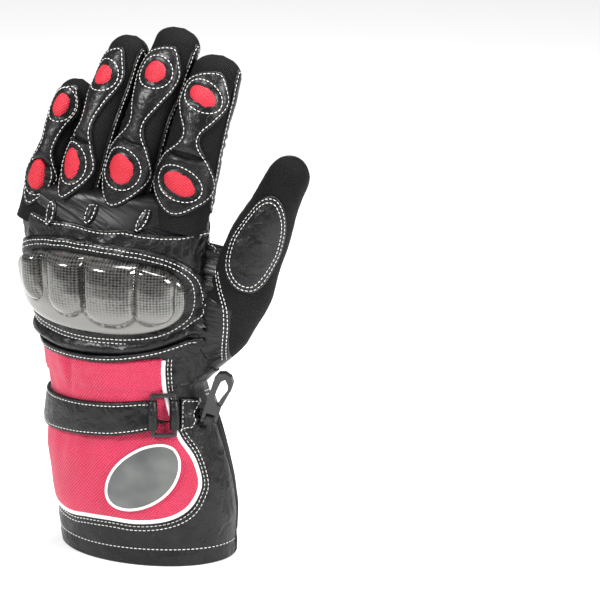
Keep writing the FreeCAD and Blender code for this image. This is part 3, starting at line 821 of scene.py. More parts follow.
def half_tube(name, form, u0, u1, s0, s1, material, wall=1.1, spacing=1.4):
    """A thick leaf of a form between two widths and two heights."""
    columns = max(3, int(round((u1 - u0) / spacing)) + 1)
    rows = max(3, int(round((s1 - s0) / spacing)) + 1)
    grid_u, grid_s = np.meshgrid(np.linspace(u0, u1, columns), np.linspace(s0, s1, rows))
    u, s = grid_u.ravel(), grid_s.ravel()
    seam = np.minimum(u - u0, u1 - u)
    top, _ = form.place(u, s, 0.35 * near(seam, 1.6, 0.9) - 0.35 * near(seam, 0, 0.7))
    bottom, _ = form.place(u, s, 0 * u - wall)
    faces = []
    count = rows * columns
    for i in range(rows - 1):
        for j in range(columns - 1):
            a = i * columns + j
            quad = (a, a + 1, a + columns + 1, a + columns)
            faces.append(quad)
            faces.append(tuple(k + count for k in quad[::-1]))
    edge = [j for j in range(columns)] + [i * columns + columns - 1 for i in range(1, rows)]
    edge += [(rows - 1) * columns + j for j in range(columns - 2, -1, -1)] + [i * columns
        for i in range(rows - 2, 0, -1)]
    for a, b in zip(edge, edge[1:] + edge[:1]):
        faces.append((b, a, a + count, b + count))
    flat = np.stack([u, s], -1)
    return mesh_object(name, np.vstack([top, bottom]), faces, np.vstack([flat, flat]), material)


def with_finger(obj, name, level):
    """A piece that bends with one length of a finger."""
    lean, _, low, _, _, _ = FINGERS[name]
    pivot = joint_at[name + ("_knuckle_curl" if level == "lower" else "_middle_curl")]
    way = turned(lean, 12 if level == "lower" else 21, 0)[:, 2]
    before, after = (5, 11) if level == "lower" else (9, 9)
    pair = ("hand", name + "_lower") if level == "lower" else (name + "_lower", name + "_upper")
    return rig.blend(obj, *pair, (pivot - before * way) / 1000, (pivot + after * way) / 1000)


for name, form in forms.items():
    _, _, low, high, _, _ = FINGERS[name]
    quarter = form.radius * math.pi / 2
    for level, s0, s1 in (("lower", -13, low - SEAM_CUT), ("upper", low - SEAM_CUT, low + high - 0.02)):
        for side, u0, u1, material, slot in (
                ("back", -quarter, quarter, cordura, "textile_black"),
                ("palm", quarter, 3 * quarter, soft_leather, "leather_black")):
            piece = half_tube(name + "_" + level + "_" + side + "_skin", form, u0, u1, s0, s1, material)
            with_finger(piece, name, level)
            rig.replaces(piece, name + "_" + level + "_" + side)
            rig.slot(piece, slot)
            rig.padded(piece, 0.6)

# ---- finger armour
# Each finger carries a lobed leather plate, wide round a window at each bone and narrow over the
# middle joint, padded underneath and sewn down along its edge; a red mesh pad fills each window.
PADS = {
    "index": ((0.35, 9.6, 7.2, -25), (0.41, 9.2, 6.5, -25)), "middle": ((0.41, 8.0, 9.9, 12),
    (0.46, 7.0, 7.7, 0)),
    "ring": ((0.41, 6.4, 10.0, 8), (0.45, 6.5, 7.6, 0)), "little": ((0.44, 5.8, 9.4, 8), (0.51, 5.6, 8.2, 0)),
}
SHARES = {"index": 0.76, "middle": 0.77, "ring": 0.81, "little": 0.86}
WAIST = 5.3
SUNK = 0.1  # the middle of a stitch lies this far over the leather
seam_lines = []  # stitched lines: form, skin, line, lift, how it is carried


def clip_line(line, s_cut, keep_low):
    """The part of a closed outline below or above a height."""
    kept = []
    for p, q in zip(line, np.roll(line, -1, 0)):
        p_in, q_in = (p[1] <= s_cut) == keep_low, (q[1] <= s_cut) == keep_low
        if p_in:
            kept.append(p)
        if p_in != q_in:
            kept.append(p + (q - p) * (s_cut - p[1]) / (q[1] - p[1]))
    return np.array(kept)


def broken(line, s_cut, keep_low):
    """The runs of a closed line that lie below or above a height, as open lines."""
    inside = (line[:, 1] <= s_cut) == keep_low
    if inside.all():
        return [np.vstack([line, line[:1]])]
    start = int(np.argmin(inside))
    order = np.roll(np.arange(len(line)), -start)
    runs, run = [], []
    for i in order:
        if inside[i]:
            run.append(line[i])
        elif run:
            runs.append(np.array(run))
            run = []
    if run:
        runs.append(np.array(run))
    return [r for r in runs if len(r) > 3]


def ellipse(half_u, half_s, centre, tilt=0.0, spacing=1.0):
    """A tilted oval outline."""
    angle = np.linspace(0, math.tau, 160, endpoint=False)
    c, s = math.cos(math.radians(tilt)), math.sin(math.radians(tilt))
    u, v = half_u * np.cos(angle), half_s * np.sin(angle)
    return even_line(np.stack([centre[0] + c * u - s * v, centre[1] + s * u + c * v], -1), True, spacing)


def pad_dome(rise):
    """Height of a stuffed pad over its outline."""
    def height(u, s, gap):
        return rise * (1 - np.exp(-gap / 2.2)) + 0.12 * waves(u, s, 4, 8)
    return height


ARMOUR_WALL = 1.7
for name, form in forms.items():
    _, _, low, high, widths, _ = FINGERS[name]
    (low_share, low_u, low_s, low_tilt), (high_share, high_u, high_s, high_tilt) = PADS[name]
    pad_low, pad_high = low * low_share, low + high * high_share
    top = low + high * SHARES[name]
    lobe, upper = 1.22 * widths[0], 1.06 * widths[1]
    right = [(lobe * 0.55, pad_low * 0.22), (lobe, pad_low), (lobe * 0.66, pad_low + 0.5 * (low - pad_low)),
        (WAIST, low - 3)]
    right += [(upper * 0.66, low + 0.35 * (pad_high - low)), (upper, pad_high),
        (upper * 0.72, pad_high + 0.62 * (top - pad_high))]
    left = [(-u, s) for u, s in right[::-1]]
    outline = round_line([(0, -4)] + right + [(upper * 0.3, top)] + left, True, 1.1)
    cut = low - SEAM_CUT
    windows = [(pad_low, low_u, low_s, low_tilt), (pad_high, high_u, high_s, high_tilt)]
    rings = [ellipse(u, s, (0, at), tilt) for at, u, s, tilt in windows]

    def relief(u, s, gap):
        """Padding under the plate, a sunk ring round each window, and a soft ridge along the finger."""
        rise = 1.1 * (1 - np.exp(-gap / 4)) + 0.2 * waves(u, s, 6, 21)
        points = np.stack([u, s], -1)
        for ring in rings:
            away = gap_to(points, ring)
            rise = rise - 0.9 * near(away, 0.3, 0.8) - 0.3 * near(away, 2.0, 0.5)
        return rise

    for level, keep_low in (("lower", True), ("upper", False)):
        piece = lay(name + "_" + level + "_plate", form, clip_line(outline, cut, keep_low), leather,
            ARMOUR_WALL,
                    edge=outline, spacing=1.5, seams=(1.7,), height=relief)
        with_finger(piece, name, level)
        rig.replaces(piece, name + "_" + level + "_armour")
        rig.slot(piece, "leather_black")
        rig.padded(piece, 0.5)
        ring = rings[0 if keep_low else 1]
        at, half_u, half_s, tilt = windows[0 if keep_low else 1]
        pad = lay(name + "_" + level + "_window", form, ellipse(half_u - 0.5, half_s - 0.5, (0, at), tilt,
            0.9), red_mesh, 1.6, under=0.3,
                  spacing=1.1, round_over=1.4, height=pad_dome(2.2))
        with_finger(pad, name, level)
        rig.replaces(pad, name + "_" + level + "_pad")
        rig.slot(pad, "red_fabric")
        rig.padded(pad, 0.9)
        rest = skin_of(piece)
        for run in broken(inset(turning_left(outline), 1.7), cut, keep_low):
            seam_lines.append((form, rest, run, SUNK, (name, level)))
        around = ellipse(half_u + 2.0, half_s + 2.0, (0, at), tilt, 0.8)
        seam_lines.append((form, rest, np.vstack([around, around[:1]]), SUNK, (name, level)))

# ---- finger side strips and crotch tabs
# A smooth leather strip is let into the cloth down the thumb's side of each finger, and a small
# folded leather tab guards each crotch between two fingers.
for name in ("index", "middle", "ring"):
    form = forms[name]
    _, _, low, high, _, _ = FINGERS[name]
    edge_u = form.radius * math.pi / 2
    strip = [(edge_u * 0.86, 6), (edge_u * 1.1, 6), (edge_u * 1.12, low + high * 0.5),
        (edge_u * 1.0, low + high * 0.86),
             (edge_u * 0.72, low + high * 0.80), (edge_u * 0.80, low + high * 0.3),
             (edge_u * 0.84, low * 0.6)]
    strip_line = round_line(strip, True, 1.2)
    for level, keep_low in (("lower", True), ("upper", False)):
        piece = lay(name + "_" + level + "_side_strip", form,
            clip_line(turning_left(strip_line), low - SEAM_CUT, keep_low), leather, 0.9,
                    edge=strip_line, spacing=1.7, seams=(1.4,), height=lambda u, s,
                    gap: 0.15 * waves(u, s, 5, 91))
        with_finger(piece, name, level)
        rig.slot(piece, "leather_black")
        rest = skin_of(piece)
        for run in broken(inset(turning_left(strip_line), 1.4), low - SEAM_CUT, keep_low):
            seam_lines.append((form, rest, run[run[:, 0] < edge_u], SUNK, (name, level)))

# ---- knuckle guard
# A hard moulded shell with a clear gloss over a carbon look, four ribs over the knuckles and a smooth
# skirt below them. It sits on a foam bed and is held by the sewn surround.
hand_plain = Form(hand.s, hand.centres, hand.turns, hand.half_x, hand.half_y, ROUND)


def on_hand(points, palm=False):
    """Outline points seen square on, across and up, as widths round the hand and heights."""
    placed = []
    for x, z in points:
        centre = np.interp(z, STATIONS[:, 0], STATIONS[:, 1])
        half = np.interp(z, STATIONS[:, 0], STATIONS[:, 2])
        share = (x - centre) / half
        angle = math.asin(max(-1, min(1, share))) + math.copysign(max(0.0, abs(share) - 1), share)
        placed.append(((math.pi - angle if palm else angle) * ROUND, z))
    return placed


GUARD = (-71.0, 26.0, 136.5, 180.0)


def guard_line(grow, power=3.0, count=44):
    """The guard's rounded outline, grown by a margin; it dips a little towards the thumb side."""
    x0, x1, z0, z1 = GUARD
    points = []
    for i in range(count):
        angle = math.tau * i / count
        c, s = math.cos(angle), math.sin(angle)
        x, z = math.copysign(abs(c) ** (2 / power), c), math.copysign(abs(s) ** (2 / power), s)
        tilt = 1.5 * max(0, s) * (-x)
        points.append(((x0 + x1) / 2 + x * ((x1 - x0) / 2 + grow),
            (z0 + z1) / 2 + z * ((z1 - z0) / 2 + grow) + tilt))
    return round_line(on_hand(points), True, 1.2)


# across, half width, foot
RIBS = [(-57.0, 6.6, 150.0), (-37.0, 9.0, 146.0), (-11.5, 11.6, 143.0), (12.0, 10.0, 144.5)]
rib_places = [(on_hand([(x, 160)])[0][0], w * 1.06, z) for x, w, z in RIBS]
RIB_RISE, SKIRT = 4.6, 5.2


def guard_height(u, s, gap):
    """A crowned shell with four capsule ribs that end in points on the skirt."""
    rise = SKIRT + 1.2 * np.sqrt(np.clip(gap / 12, 0, 1)) + 1.0 * step(s, 140, 176)
    best = 0 * u
    for at, half, foot in rib_places:
        across = (u - at) / half
        down = np.clip(foot + 9 - s, 0, None) / 9
        away = np.sqrt(across ** 2 + down ** 2)
        ball = np.sqrt(np.clip(1 - away ** 2, 0, 1))
        best = np.where(away < 1, np.maximum(best, RIB_RISE * ball * step(182 - s, 0, 7)), best)
        rise = rise - 0.45 * near(away, 1.06, 0.07)
    return rise + best - 3.0 * (1 - np.sqrt(1 - (1 - np.clip(gap / 4.5, 0, 1)) ** 2))


def carbon_nodes(wire, flat):
    """Speckled twill high up, plain smoky gloss on the skirt."""
    slanted = wire.node("Mapping", {}, {"Vector": flat, "Rotation": (0, 0, 0.78)})
    check = wire.node("TexChecker", {}, {"Vector": slanted, "Scale": 0.9}, 1)
    spots = wire.node("TexNoise", {}, {"Vector": flat, "Scale": 0.55, "Detail": 4.0})
    patches = wire.node("TexNoise", {}, {"Vector": flat, "Scale": 0.06, "Detail": 2.0})
    height = wire.node("SeparateXYZ", {}, {"Vector": flat}, 1)
    upper = (height + spots * 6).ramp(149, 160)
    speck = check * 0.35 + spots * 0.9 + patches * 0.9
    tone = upper * speck.ramp(0.75, 1.25) * 0.75 + (1 - upper) * 0.8
    smoke = tone.mix((0.006, 0.0065, 0.007, 1), (0.20, 0.195, 0.18, 1))
    return {"Base Color": smoke, "Roughness": 0.1 + upper * 0.06, "Metallic": 0.15 + upper * 0.5}


carbon = finish("carbon_gloss", carbon_nodes, Coat_Weight=1.0, Coat_Roughness=0.03, Specular_IOR_Level=0.6)
guard_foam = lay("guard_bed", hand_plain, guard_line(-2.5), leather, 1.0, under=0.6, height=lambda u, s,
    gap: 2.4 + 0 * u, spacing=3.5)
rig.ride(guard_foam, "hand")
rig.replaces(guard_foam, "guard_foam")
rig.slot(guard_foam, "foam")
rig.padded(guard_foam, 0.9)
guard = lay("knuckle_shell", hand_plain, guard_line(0), carbon, 1.6, under=2.4, spacing=1.0, round_over=1.2,
    height=guard_height)
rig.ride(guard, "hand")
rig.replaces(guard, "knuckle_guard")
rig.slot(guard, "carbon_guard")


def carry(obj, how):
    """Gives a piece the same body, or the same bend, as the piece it is sewn to."""
    if isinstance(how, tuple):
        return with_finger(obj, *how)
    if how == "wrist":
        return over_wrist(obj)
    if how == "thumb_bend":
        return over_thumb(obj)
    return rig.ride(obj, how)


def piece_on_hand(name, outline, material, carried, nodes, slot, fill=None, **shape):
    """A leaf laid on the sewn skin of the hand or cuff, carried and declared."""
    shape.setdefault("skin", hand_skin)  # as it stands when the piece is laid
    made = lay(name, shape.pop("form", hand), outline, material, **shape)
    carry(made, carried)
    if nodes:
        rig.replaces(made, *nodes)
    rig.slot(made, slot)
    if fill is not None:
        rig.padded(made, fill)
    return made


def sew(line, carried, skin=None, lift=SUNK, closed=False, form=hand):
    """Marks a line for stitching on a piece's skin."""
    line, skin = np.asarray(line), skin or hand_skin
    seam_lines.append((form, skin, np.vstack([line, line[:1]]) if closed else line, lift, carried))


# ---- back of the hand
# The leather back is one leaf from the wrist to the knuckle seam, with a raised edge down the thumb's
# side, where a narrower strip joins it. It is laid first, and what follows is sewn on top of it.
YOKE = [(37, 104), (38, 118), (37.3, 140), (36.2, 160), (36.4, 180), (36.0, 194.5), (22, 193.2), (5, 193.8),
    (-8, 195.2), (-22, 194.0), (-40, 195.6),
        (-55, 195.0), (-66, 197.0)]
yoke_line = round_line(on_hand(YOKE), False, 1.3)
yoke_line = np.vstack([yoke_line, [(-79, z) for z in np.arange(197, 104, -1.4)],
    [(u, 104) for u in np.arange(-78, yoke_line[0][0], 1.4)]])


def yoke_folds(u, s, gap):
    """Leather gathered a little at its seams."""
    return (0.4 * waves(u * 0.5, s * 1.6, 6, 81) + 0.45 * near(s, 187, 7)
        * np.sin(u * 0.5 + 1.5 * np.sin(s / 4))) * np.clip(gap / 3, 0, 1)


yoke = piece_on_hand("back_yoke", yoke_line, leather, "wrist", [], "leather_black", 0.3, thick=1.1,
    under=-0.6, height=yoke_folds,
                     seams=(1.9,))
yoke_rest = skin_of(yoke)
sew(inset(yoke_line[:int(len(round_line(on_hand(YOKE), False, 1.3)))], 1.9, closed=False), "wrist", yoke_rest)
sew(round_line(on_hand([(40.5, 108), (41.5, 125), (40.4, 145), (39.4, 165), (39.2, 180), (38.8, 190)]),
    False), "wrist", hand_skin)
skin_points, skin_faces = list(vertices), list(skin_polygons)
skin_faces += [tuple(i + len(skin_points) for i in p.vertices) for p in yoke.data.polygons]
skin_points += [v.co * 1000 for v in yoke.data.vertices]
hand_skin = BVHTree.FromPolygons(skin_points, skin_faces)

# across, up, tilt to the thumb's side in degrees
CROTCHES = [(2.4, 201.5, 20), (-28.5, 203.0, 12), (-53.5, 199.0, 4)]
for number, (x, z, tilt) in enumerate(CROTCHES):
    centre = on_hand([(x, z)])[0]
    tab = ellipse(2.9, 7.2, centre, -tilt, 0.8)
    piece = piece_on_hand("crotch_tab_%d" % (number + 1), tab, leather, "hand", [], "leather_black",
        thick=1.6, round_over=1.4,
                          seams=(1.5,), spacing=1.2, height=lambda u, s, gap: 1.6 * (1 - np.exp(-gap / 1.5)))
    sew(inset(turning_left(tab), 1.0), "hand", skin_of(piece), closed=True)

# ---- guard surround, roll and binding
# A padded leather frame round the guard, sewn down with two rows; under it a stuffed roll over the
# wrist bone, then a leather binding with one row of lock stitch that covers the red panel's top.
guard_frame = piece_on_hand(
    "guard_frame", guard_line(7.5), leather, "hand", ["guard_surround"], "leather_black", 0.6,
    holes=[guard_line(-1.5)],
    thick=2.0, round_over=2.2, seams=(2.1, 4.4), height=lambda u, s,
    gap: 1.1 * (1 - np.exp(-gap / 2)) + 0.25 * waves(u, s, 7, 31))
for away in (3.1, 5.4):
    sew(guard_line(away), "hand", skin_of(guard_frame), closed=True)

ROLL = [(-67, 126), (-50, 122.5), (-28, 123), (-6, 125), (14, 129), (28, 135), (36, 143), (33, 148),
    (25, 141), (6, 134), (-20, 131.5),
        (-45, 131), (-68, 134)]
roll_line = round_line(on_hand(ROLL), True, 1.3)
piece_on_hand(
    "wrist_bone_roll", roll_line, leather, "wrist", ["wrist_roll"], "leather_black", 0.9, thick=2.6,
    round_over=3.0,
    height=lambda u, s, gap: 3.2 * (1 - np.exp(-(gap / 3.2) ** 1.4)) + 0.35 * waves(u * 0.6, s * 1.6, 6, 33))


def band(low_line, high_line, spacing=1.2):
    """A closed outline between a lower and an upper line, both run from the little finger's side."""
    lower, upper = round_line(on_hand(low_line), False, spacing), round_line(on_hand(high_line), False,
        spacing)
    return np.vstack([lower, upper[::-1]])


BINDING_LOW = [(-62, 118.0), (-45, 117.6), (-25, 118.4), (-6, 120.6), (14, 124.5), (26, 128.5), (35.5, 134)]
BINDING_HIGH = [(x, z + 4.2) for x, z in BINDING_LOW]
binding = piece_on_hand("binding", band(BINDING_LOW, BINDING_HIGH), leather, "wrist", [], "leather_black",
    thick=1.5, round_over=0.8,
              height=lambda u, s, gap: 1.6 + 0 * u)
sew(round_line(on_hand([(x, z + 2.1) for x, z in BINDING_LOW]), False), "wrist", skin_of(binding))

# ---- red panels
# Red coarse nylon over padding on the back of the wrist and cuff, one cloth that runs on under the
# strap; its free edge is bound with white piping and sewn to the black leather with two rows.
BORDER = [(16.5, 121), (16.3, 112), (18.5, 98), (25.2, 77.7), (33.3, 64.5), (37.5, 51.4), (36.8, 43.4),
    (33.0, 35.8), (25.8, 30.5)]
BORDER += [(15.8, 27.6), (2.9, 26.4), (-10.9, 26.9), (-26, 26.0), (-39.9, 24.6), (-56, 28.0)]
border_line = round_line(on_hand(BORDER), False, 1.1)
BACK_END = -80.0  # the red cloth turns this far round the little finger's side
RED_SPLIT = 85.0
border_line = np.vstack([border_line, [(u, 28 + (u + 72) * -0.05)
    for u in np.arange(border_line[-1][0] - 1.2, BACK_END, -1.2)]])
red_line = np.vstack([border_line, [(BACK_END, z) for z in np.arange(30, 118, 1.2)],
                      round_line([(BACK_END, 118.5)] + on_hand([(-60, 119.5), (-25, 120.5), (16.5, 122)]),
                      False, 1.2)[1:-1]])


def red_puff(u, s, gap):
    """Stuffed nylon: full between its seams, pinched under the strap, with drag creases."""
    pinch = near(s, 83 + u * 0.03, 13)
    full = (1 - np.exp(-gap / 5)) * (1 - pinch)
    drag = 0.75 * waves(u * 1.6, s * 0.45, 8, 41) * near(s, 66, 16) + 0.7 * waves(u * 1.3, s * 0.5, 7,
        43) * near(s, 105, 12)
    crease = -1.5 * near(u, -27 + (s - 100) * 0.15, 2.2) * step(s, 92, 102)
    return 2.2 * full + (drag + crease) * np.clip(gap / 4, 0, 1) + 0.25 * waves(u, s, 12, 45) * full


for name, keep_low, carried_by, nodes in (
        ("red_cuff_cloth", True, "cuff", ["red_cuff_panel"]),
        ("red_wrist_cloth", False, "wrist", ["red_wrist_panel"])):
    piece_on_hand(name, clip_line(turning_left(red_line), RED_SPLIT, keep_low), red_nylon, carried_by,
        nodes, "red_fabric", 0.7,
                  edge=red_line, thick=1.0, height=red_puff, spacing=1.6)


def cord_along(name, line, radius, material, carried_by, slot, lift, nodes=(), form=hand, skin=hand_skin,
        closed=False):
    """A round piping laid along a line."""
    line = even_line(line, closed, 1.6)
    u, s = line.T
    points, _ = skin_at(form, skin, u, s, np.full(len(u), float(lift)))
    for _ in range(3):
        points[1:-1] = (points[:-2] + 2 * points[1:-1] + points[2:]) / 4
    curve = bpy.data.curves.new(name, "CURVE")
    curve.dimensions = "3D"
    spline = curve.splines.new("POLY")
    spline.points.add(len(points) - 1)
    for place, point in zip(spline.points, points):
        place.co = (*(point / 1000), 1)
    spline.use_cyclic_u = closed
    curve.bevel_depth = radius / 1000
    curve.bevel_resolution = 3
    curve.use_fill_caps = True
    shaped = bpy.data.objects.new(name + "_curve", curve)
    bpy.context.scene.collection.objects.link(shaped)
    mesh = bpy.data.meshes.new_from_object(shaped.evaluated_get(bpy.context.evaluated_depsgraph_get()))
    bpy.data.objects.remove(shaped)
    mesh.name = name
    made = bpy.data.objects.new(name, mesh)
    bpy.context.scene.collection.objects.link(made)
    mesh.materials.clear()
    mesh.materials.append(material)
    mesh.uv_layers.new(name="flat")
    mesh.shade_smooth()
    carry(made, carried_by)
    if nodes:
        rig.replaces(made, *nodes)
    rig.slot(made, slot)
    return made


piping_white = finish("white_piping", lambda wire, flat: {"Base Color": (0.84, 0.84, 0.83, 1),
    "Roughness": 0.45})
cuff_part = border_line[border_line[:, 1] <= RED_SPLIT]
wrist_part = border_line[border_line[:, 1] >= RED_SPLIT - 1]
cord_along("cuff_piping", cuff_part, 1.25, piping_white, "cuff", "white_piping", 1.0, ["white_piping"])
cord_along("wrist_piping", wrist_part, 1.25, piping_white, "wrist", "white_piping", 1.0)
outward = -1 if np.allclose(turning_left(red_line)[0], red_line[0]) else 1
for away in (3.2, 5.6):
    outside = inset(border_line, outward * away, closed=False)
    sew(outside[outside[:, 1] < RED_SPLIT], "cuff")
    upper = outside[(outside[:, 1] >= RED_SPLIT) & (outside[:, 1] < 121 + away)]
    sew(upper, "wrist")

# ---- emblem
# A blank oval of grey reflective foil with a white rim, sewn on the red cuff.
foil_nodes = lambda wire, flat: {
    "Base Color": wire.node("TexNoise", {}, {"Vector": flat, "Scale": 0.05}).ramp(0.3,
    0.7).mix((0.085, 0.09, 0.088, 1), (0.15, 0.155, 0.15, 1)),
    "Roughness": 0.34}
foil = finish("reflective_foil", foil_nodes, Metallic=0.25, Specular_IOR_Level=0.6)
emblem_centre = on_hand([(9, 53.5)])[0]
emblem_line = ellipse(25.5, 14.0, emblem_centre, 43)
over_red = lambda u, s, gap: 0.9 + red_puff(u, s, gap_to(np.stack([u, s], -1), red_line)) + 0.4 * (
    1 - np.exp(-gap / 4))
emblem = piece_on_hand("emblem_oval", emblem_line, foil, "cuff", ["emblem_patch"], "reflective_grey",
    thick=0.8, under=0.8, round_over=0.5,
              height=over_red)
emblem_edge = inset(turning_left(emblem_line), 0.7)
cord_along("emblem_rim", np.vstack([emblem_edge, emblem_edge[:1]]), 0.8, piping_white, "cuff",
    "white_piping", 0.2,
           skin=skin_of(emblem))

# ---- strap, tape and tab
# A leather strap that presses onto loop tape, folds round the left bar of the buckle and is sewn; a
# leather tab holds the right bar to the cuff.
loop_pile = finish("loop_tape", weave_nodes(grey(0.01), grey(0.05), 0.6, 0.0003, 0.9))
tape_line = np.array(on_hand([(-56, 73.5), (-25, 77), (5, 80), (5, 94), (-25, 92), (-56, 88.5)]))
piece_on_hand("loop_tape", even_line(tape_line), loop_pile, "cuff", ["strap_base_band"], "loop_tape",
    form=hand_plain, skin=None, thick=0.5,
              under=1.0, height=lambda u, s, gap: 1.9 + 0 * u)
STRAP = [(-69, 72), (-66, 70.4), (-50, 71.3), (-30, 73.8), (-10, 76.3), (4, 79.3), (13.0, 81.6),
    (13.0, 98.4), (4, 98.0), (-10, 95.8),
         (-30, 93.8), (-50, 92), (-66, 91.2), (-69, 89.6)]
strap_line = even_line(np.array(on_hand(STRAP)))
strap_shape = dict(form=hand_plain, skin=None, thick=1.9, under=2.9, round_over=0.9, seams=(1.9,),
    spacing=1.5)
closing_strap = piece_on_hand("closing_strap", strap_line, leather, "strap", ["strap"], "leather_black",
              height=lambda u, s, gap: 2.9 + 0.25 * (1 - np.exp(-gap / 3)), **strap_shape)
sew(inset(turning_left(strap_line), 1.9), "strap", skin_of(closing_strap), closed=True, form=hand_plain)


def fold_round(name, joint, inner, outer, height, carried_by):
    """A fold of leather round one bar of the buckle."""
    row = next(j for j in frame["joints"] if j["name"] == joint)
    centre, axis = np.array(row["pos_m"]) * 1000, np.array(row["axis"])
    side = np.cross(axis, (0, 1, 0))
    side /= np.linalg.norm(side)
    other = np.cross(axis, side)
    half, bend = height / 2, 0.5
    profile = [(inner, -half + bend), (inner + bend, -half), (outer - bend, -half), (outer, -half + bend),
        (outer + 0.15, 0),
               (outer, half - bend), (outer - bend, half), (inner + bend, half), (inner, half - bend)]
    count, points, faces = 32, [], []
    for i in range(count):
        angle = math.tau * i / count
        for r, z in profile:
            points.append(centre + axis * z + r * (math.cos(angle) * side + math.sin(angle) * other))
    width = len(profile)
    for i in range(count):
        for k in range(width):
            a, b = i * width + k, i * width + (k + 1) % width
            c, d = ((i + 1) % count) * width + (k + 1) % width, ((i + 1) % count) * width + k
            faces.append((a, b, c, d))
    flat = [(math.tau * (i // width) / count * outer, points[i] @ axis) for i in range(len(points))]
    made = mesh_object(name, points, faces, flat, leather)
    bm = bmesh.new()
    bm.from_mesh(made.data)
    bmesh.ops.recalc_face_normals(bm, faces=bm.faces[:])
    bm.to_mesh(made.data)
    bm.free()
    carry(made, carried_by)
    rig.slot(made, "leather_black")
    return made


fold_round("strap_fold", "strap_peel", 1.7, 2.8, 17.0, "strap")
fold_round("tab_fold", "buckle_tilt", 1.7, 2.8, 17.0, "cuff")
tab_line = even_line(np.array(on_hand([(25.4, 81), (31.5, 79.8), (33.4, 84), (31.8, 88), (33.6, 95.6),
    (25.2, 98.2)])))
tab_left = tab_line[:, 0].min()
tab_leaf = piece_on_hand("buckle_tab_leaf", tab_line, leather, "cuff", ["buckle_tab"], "leather_black",
    form=hand_plain, skin=None, thick=1.3,
              height=lambda u, s, gap: 0.6 + 3.0 * (1 - step(u, tab_left + 0.5, tab_left + 6.5)), spacing=1.1)
sew(inset(turning_left(tab_line), 1.4), "cuff", skin_of(tab_leaf), closed=True, form=hand_plain)

# ---- buckle and hook
# Moulded black plastic, slightly glossy, with a fine sparked texture; the hook hangs on woven tape.
plastic_nodes = lambda wire, flat: {
    "Base Color": grey(0.012), "Roughness": 0.3 + wire.node("TexNoise", {}, {
        "Vector": wire.node("TexCoord", {}, {}, 3), "Scale": 900.0}) * 0.14}
plastic = finish("moulded_plastic", plastic_nodes, Specular_IOR_Level=0.6)
for node in ("buckle", "snap_hook", "hook_gate"):
    frame["nodes"][node].data.materials.clear()
    frame["nodes"][node].data.materials.append(plastic)
webbing_nodes = lambda wire, flat: {
    "Base Color": wire.node("TexWave", {}, {"Vector": wire.node("TexCoord", {}, {}, 3),
    "Scale": 300.0}).mix(grey(0.006), grey(0.03)),
    "Roughness": 0.8}
webbing = finish("black_webbing", webbing_nodes)
frame["nodes"]["hook_loop"].data.materials.clear()
frame["nodes"]["hook_loop"].data.materials.append(webbing)

# ---- thumb patch
# A teardrop of leather over the thumb's back, sewn down with two rows.
TEAR = [(-1, 1), (6, 4), (11, 14), (13.5, 29), (11.5, 43), (5.5, 54), (-2, 59.5), (-10, 58), (-15.5, 50),
    (-18, 36), (-17.5, 22),
        (-14.5, 10), (-8, 3)]
tear_line = round_line(TEAR, True, 1.1)
thumb_lay = dict(form=thumb, spacing=1.5)
teardrop = piece_on_hand("thumb_teardrop", tear_line, leather, "thumb_bend", ["thumb_patch"],
    "leather_black", 0.5, thick=1.5, seams=(1.7, 3.9),
              height=lambda u, s, gap: 0.9 * (1 - np.exp(-gap / 5)) + 0.2 * waves(u, s, 8, 51), **thumb_lay)
for away in (1.7, 3.9):
    sew(inset(turning_left(tear_line), away), "thumb_bend", skin_of(teardrop), closed=True, form=thumb)

# ---- palm pieces
# Reinforcing leather on the heel of the hand and up to the index finger, sewn with two rows, and a
# leather wrist band above the gathers, which a wide elastic inside the wall pulls in.
HEEL = [(-66, 112), (-54, 108), (-20, 108), (5, 109), (13, 116), (13, 128), (6, 136), (-9, 141), (-13, 151),
    (-18, 157), (-35, 156),
        (-50, 151), (-52, 166), (-48, 181), (-56, 192), (-70, 197)]
heel_line = round_line(on_hand(HEEL, palm=True), True, 1.3)
heel_line[:, 0] = np.minimum(heel_line[:, 0], 1.5 * math.pi * ROUND - 4)
heel = piece_on_hand("palm_heel_leaf", heel_line, leather, "wrist", ["palm_heel_patch"], "leather_black",
    0.4, thick=1.2, seams=(1.8, 4.2),
              height=lambda u, s, gap: 0.9 * (1 - np.exp(-gap / 6)) + 0.3 * waves(u, s, 10, 61))
for away in (1.8, 4.2):
    sew(inset(turning_left(heel_line), away), "wrist", skin_of(heel), closed=True)
ribs = finish("ribbed_elastic", weave_nodes(grey(0.006), grey(0.025), 0.9, 0.0003, 0.75, 0.0))
elastic_line = even_line(np.array([(84, 70), (100, 70), (188, 70), (206, 70), (206, 87), (188, 87),
    (100, 87), (84, 87)]))
piece_on_hand("gather_elastic", elastic_line, ribs, "cuff", ["wrist_elastic"], "elastic", thick=0.7,
    round_over=0.7,
              under=-2.7, height=lambda u, s, gap: -2.1 + 0.3 * np.sin(u * 1.4) ** 2)

